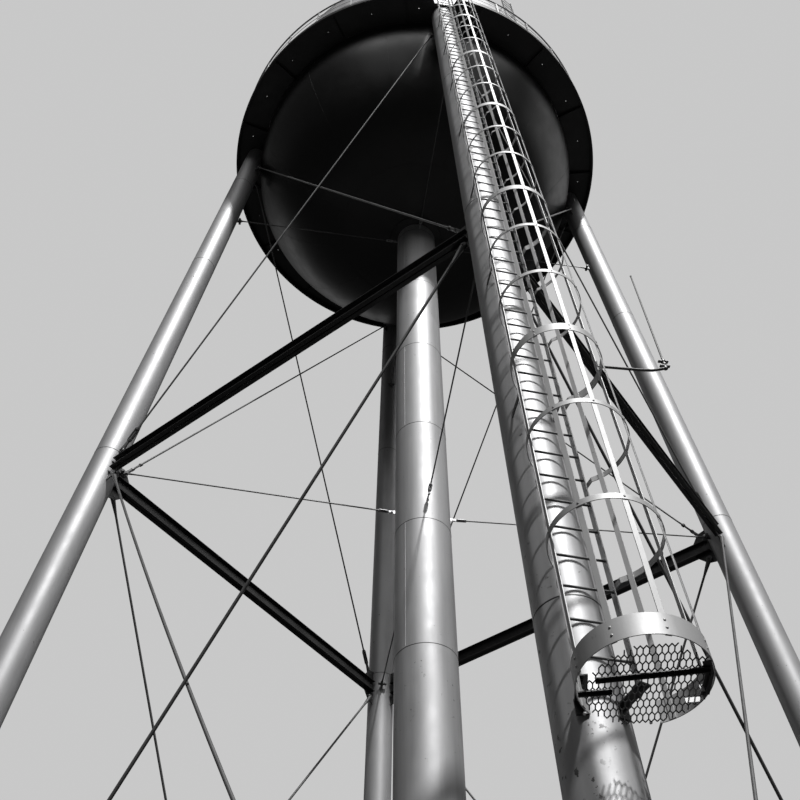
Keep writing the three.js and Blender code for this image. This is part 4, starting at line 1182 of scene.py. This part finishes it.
def inside(points, outline):
    """Which points lie inside a closed outline, by the even crossings rule."""
    x, y = points[:, :1], points[:, 1:]
    a, b = outline, np.roll(outline, -1, 0)
    crosses = (a[:, 1] > y) != (b[:, 1] > y)
    slope = (b[:, 0] - a[:, 0]) / np.where(b[:, 1] == a[:, 1], 1e-9, b[:, 1] - a[:, 1])
    return np.sum(crosses & (x < a[:, 0] + (y - a[:, 1]) * slope), 1) % 2 == 1


def expanded_metal(outline, level):
    """Honeycomb strands: six-sided cells in staggered rows, turned about the cage's centre,
    each edge a flat strand, kept where its middle lies inside the outline."""
    width, length = MESH_CELL
    side = length * 0.42
    cols, rows = np.meshgrid(np.arange(-14, 15), np.arange(-14, 15))
    cells = np.column_stack([(cols * width + (rows % 2) * width / 2).ravel(),
                             (rows * ((length + side) / 2)).ravel()])
    corners = np.array([(0, length), (width, side), (width, -side), (0, -length)]) / 2
    c, s = math.cos(MESH_TURN), math.sin(MESH_TURN)
    spin = np.array([[c, s], [-s, c]])
    starts, ends = (np.vstack([cells + corner for corner in run]) @ spin - (0, CAGE_CENTRE)
                    for run in (corners[:-1], corners[1:]))
    keep = inside((starts + ends) / 2, outline)
    starts, ends = starts[keep], ends[keep]
    reach = (ends - starts) * 0.06
    lift = np.full((len(starts), 1), level)
    return beams(np.hstack([starts - reach, lift]), np.hstack([ends + reach, lift]),
                 sizes().mesh_strand, MESH_THICK, UP)


class BuildGuard(bpy.types.Operator):
    """Build the expanded metal guard that closes the cage's foot"""

    bl_idname = "tower.guard"
    bl_label = "Build Climbing Guard"

    def execute(self, context):
        z = along_leg(CAGE_FOOT)
        t, radius = np.radians(GUARD_SHEET[:, 0]), GUARD_SHEET[:, 1]
        outline = np.column_stack([radius * np.sin(t), -CAGE_CENTRE - radius * np.cos(t)])
        bars = [beams((*a, z - 0.021), (*b, z - 0.021), width, depth, UP) for a, b in GUARD_BARS
                for width, depth in ((0.043, 0.005), (0.005, 0.043))]
        corner = np.array([(*spot, z - 0.012) for spot in GUARD_CORNER])
        bars += [beams(corner[:-1], corner[1:], 0.05, 0.006, UP),
                 beams(corner[1], corner[2] + (0, 0.02, 0), 0.006, 0.04, UP)]
        clips = [beams((*a, z - 0.028), (*b, z - 0.028), 0.005, depth, UP)
                 for a, b, depth in GUARD_CLIPS]
        nodes = ["climb_guard"]
        piece("guard_mesh", [expanded_metal(outline, z + 0.004)], MESH, nodes, LADDER_FRAME)
        piece("guard_bars", bars, SHADE_FINISH, nodes, LADDER_FRAME, bevel=0.001)
        piece("guard_clip", clips, CAGE, nodes, LADDER_FRAME, bevel=0.001)
        return {"FINISHED"}


class BuildAerial(bpy.types.Operator):
    """Build the whip aerial and the arm that holds it off the cage"""

    bl_idname = "tower.aerial"
    bl_label = "Build Aerial"

    def execute(self, context):
        out, face = cage_side(math.pi / 2)
        face = face + along_leg(AERIAL_LEVEL) * UP - out * HOOP_THICK
        pad, root = face + out * 0.0013, face + out * 0.0163
        clamp = beams(pad - 0.045 * UP, pad + 0.045 * UP, 0.06, 0.012, out)
        spots = pad + out * 0.006 + [-0.03 * UP, 0.03 * UP]
        x = AERIAL_ARM
        arm = swept_round([[0, 0, 0], [0.62 * x, 0, -0.004], [0.82 * x, 0, 0.004],
                           [0.93 * x, 0, 0.028], [x + 0.03, 0, AERIAL_LIFT]], 0.013, 16)
        coil = [(-0.014, 0.014), (-0.010, 0.020), (0.012, 0.020), (0.014, 0.016), (0.04, 0.016),
                (0.042, 0.024), (0.055, 0.024), (0.058, 0.014), (0.09, 0.014), (0.092, 0.021),
                (0.108, 0.021), (0.112, 0.011), (0.15, 0.009)]
        whip = [(0.145, 0.009), (0.6, 0.0085), (WHIP_TOP - 0.012, 0.0075),
                (WHIP_TOP - 0.010, 0.010), (WHIP_TOP, 0.009)]
        mast = np.array([x + 0.02, 0, AERIAL_LIFT])
        yokes = mast + [0.03 * UP, 0.10 * UP]
        made = [arm, turned(mast, UP, coil, 20), turned(mast, UP, whip, 10),
                beams(yokes - (0.045, 0, 0), yokes + (0.045, 0, 0), 0.03, 0.010, UP)]
        here = shift(*(LADDER_FRAME @ [*root, 1])[:3]) @ turn_z(AERIAL_BEARING)
        held = moved_all([clamp, *bolts(spots, out, 0.011)], LADDER_FRAME)
        piece("aerial_whip", held + moved_all(made, here), RODS, ["whip_aerial"])
        return {"FINISHED"}


# Piers and strut bolts
def chamfered_square(half, level):
    """A square ring with cut corners, at a level."""
    c = half - PIER_CHAMFER
    ring = [(c, -half), (half, -c), (half, c), (c, half), (-c, half), (-half, c), (-half, -c),
            (-c, -half)]
    return np.column_stack([ring, np.full(8, level)])


class BuildPiers(bpy.types.Operator):
    """Build the concrete piers with chamfered edges"""

    bl_idname = "tower.piers"
    bl_label = "Build Piers"

    def execute(self, context):
        h, base, top = PIER_TOP_LEVEL, PIER_BASE / 2, PIER_TOP / 2
        shoulder, r = h - PIER_CHAMFER, DRUM_RADIUS
        rings = [chamfered_square(half, level) for half, level in (
            (base, 0), (base, 0.004), (base + (top - base) * 0.5, h * 0.5), (top, shoulder),
            (top - PIER_CHAMFER, h))]
        for k, side in enumerate(SIDES):
            piece(f"pier_block_{side}", [loft(np.stack(rings))], CONCRETE, [f"pier_{side}"],
                  quarter(k) @ shift(0, leg_place(h + SEAT), 0))
        drum = [(RISER_BORE, 0), (r, 0), (r, shoulder), (r - PIER_CHAMFER, h), (RISER_BORE, h)]
        piece("pier_drum", [revolved(drum, 96, closed=False)], CONCRETE, ["riser_pier"])
        return {"FINISHED"}


class BuildStrutBolts(bpy.types.Operator):
    """Bolt the struts to their gussets"""

    bl_idname = "tower.strut_bolts"
    bl_label = "Bolt Struts"

    def execute(self, context):
        made = []
        end = half_face(PANEL_LEVEL) - LEG_RADIUS
        face = GUSSET_THICK / 2 + SEAT + STRUT_PLATE
        for k in range(4):
            for side in (-1, 1):
                spots = np.array([[sx * (end - inset), side * face, PANEL_LEVEL + dz]
                                  for sx in (-1, 1) for inset in (0.08, 0.17, 0.26)
                                  for dz in (-0.055, 0.055)])
                made += moved_all(bolts(spots, (0, side, 0), 0.014), face_frame(k))
        piece("strut_bolts", made, SHADE_FINISH)
        return {"FINISHED"}


class SetStage(bpy.types.Operator):
    """Set the camera, the floor, the sky and the lights"""

    bl_idname = "tower.stage"
    bl_label = "Set Stage"

    def execute(self, context):
        scene = context.scene
        lens = bpy.data.cameras.new("Camera")
        lens.sensor_width = 36
        lens.lens = LENS
        lens.clip_end = 500
        camera = bpy.data.objects.new("Camera", lens)
        turn = Matrix(CAMERA_AXES).transposed().to_4x4()
        camera.matrix_world = Matrix.Translation(CAMERA_PLACE) @ turn
        scene.collection.objects.link(camera)
        scene.camera = camera
        self.floor(scene)
        self.sky(scene)
        for name, turned_to, strength, angle in (
                ("Key sun", (36.5, 0, 12.5), 3.0, 2.6), ("Back sun", (-62, 0, -50), 0.5, 40)):
            light = bpy.data.lights.new(name, "SUN")
            light.energy = strength
            light.angle = math.radians(angle)
            self.hang(scene, light, (0, 0, 40), turned_to).visible_glossy = name == "Key sun"
        for name, place, turned_to, width, height, power in (
                ("Front softbox", (0, -30, 50), (50, 0, 3), 48, 20, 5000),
                ("Right softbox", (27, -2, 50), (42, 0, 85), 30, 36, 2200),
                ("Left softbox", (-28, -2.5, 54), (45, 0, -85), 50, 20, 380),
                ("Back softbox", (-16, 34, 40), (70, 0, -155), 40, 20, 900)):
            light = bpy.data.lights.new(name, "AREA")
            light.energy = power
            light.shape = "RECTANGLE"
            light.size, light.size_y = width, height
            self.hang(scene, light, place, turned_to).visible_camera = False
        return {"FINISHED"}

    @staticmethod
    def hang(scene, light, place, degrees):
        lamp = bpy.data.objects.new(light.name, light)
        lamp.location = place
        lamp.rotation_euler = [math.radians(angle) for angle in degrees]
        scene.collection.objects.link(lamp)
        return lamp

    @staticmethod
    def floor(scene):
        ring = disc(0, 0, FLOOR_RADIUS, 64)
        mesh = bpy.data.meshes.new("Ground")
        mesh.from_pydata([(x, y, 0) for x, y in ring], [], [list(range(64))])
        ground = bpy.data.objects.new("Ground", mesh)
        finish = bpy.data.materials.new("Pale floor")
        finish.use_nodes = True
        tree = finish.node_tree
        seen = node(tree, "ShaderNodeLightPath").outputs["Is Camera Ray"]
        shade = mixed(tree, seen, (0.03, 0.03, 0.03, 1), (0.55, 0.55, 0.55, 1))
        wire(tree.nodes["Principled BSDF"], {"Base Color": shade, "Roughness": 0.9})
        mesh.materials.append(finish)
        scene.collection.objects.link(ground)

    @staticmethod
    def sky(scene):
        world = bpy.data.worlds.new("Sky")
        world.use_nodes = True
        tree = world.node_tree
        seen = node(tree, "ShaderNodeLightPath").outputs["Is Camera Ray"]
        level = node(tree, "ShaderNodeMapRange", {"Value": seen, "To Min": 0.025, "To Max": 0.58})
        wire(tree.nodes["Background"], {"Color": (1, 1, 1, 1), "Strength": level.outputs["Result"]})
        scene.world = world
        scene.view_settings.view_transform = "Standard"


OPERATORS = (PaintTower, BuildLegs, BuildRiser, BuildRods, BuildStays, BuildTank,
             BuildRoofFittings, BuildBalcony, BuildLadder, BuildCage, BuildGuard, BuildAerial,
             BuildPiers, BuildStrutBolts, SetStage)


class TowerPanel(bpy.types.Panel):
    """Lists the sizes, the colours and the steps that dress the tower."""

    bl_idname = "VIEW3D_PT_water_tank"
    bl_label = "Water Tank"
    bl_space_type = "VIEW_3D"
    bl_region_type = "UI"
    bl_category = "Water Tank"

    def draw(self, context):
        column = self.layout.column()
        for holder in (sizes(), colours()):
            for key in holder.__annotations__:
                column.prop(holder, key)
        for step in OPERATORS:
            column.operator(step.bl_idname)


CLASSES = (TowerSizes, TowerColours, *OPERATORS, TowerPanel)


def register():
    for made in CLASSES:
        bpy.utils.register_class(made)
    bpy.types.Scene.tower_sizes = PointerProperty(type=TowerSizes)
    bpy.types.Scene.tower_colours = PointerProperty(type=TowerColours)


def unregister():
    del bpy.types.Scene.tower_colours
    del bpy.types.Scene.tower_sizes
    for made in reversed(CLASSES):
        bpy.utils.unregister_class(made)


def main():
    register()
    for step in OPERATORS:
        category, name = step.bl_idname.split(".")
        getattr(getattr(bpy.ops, category), name)()


if __name__ == "__main__":
    main()
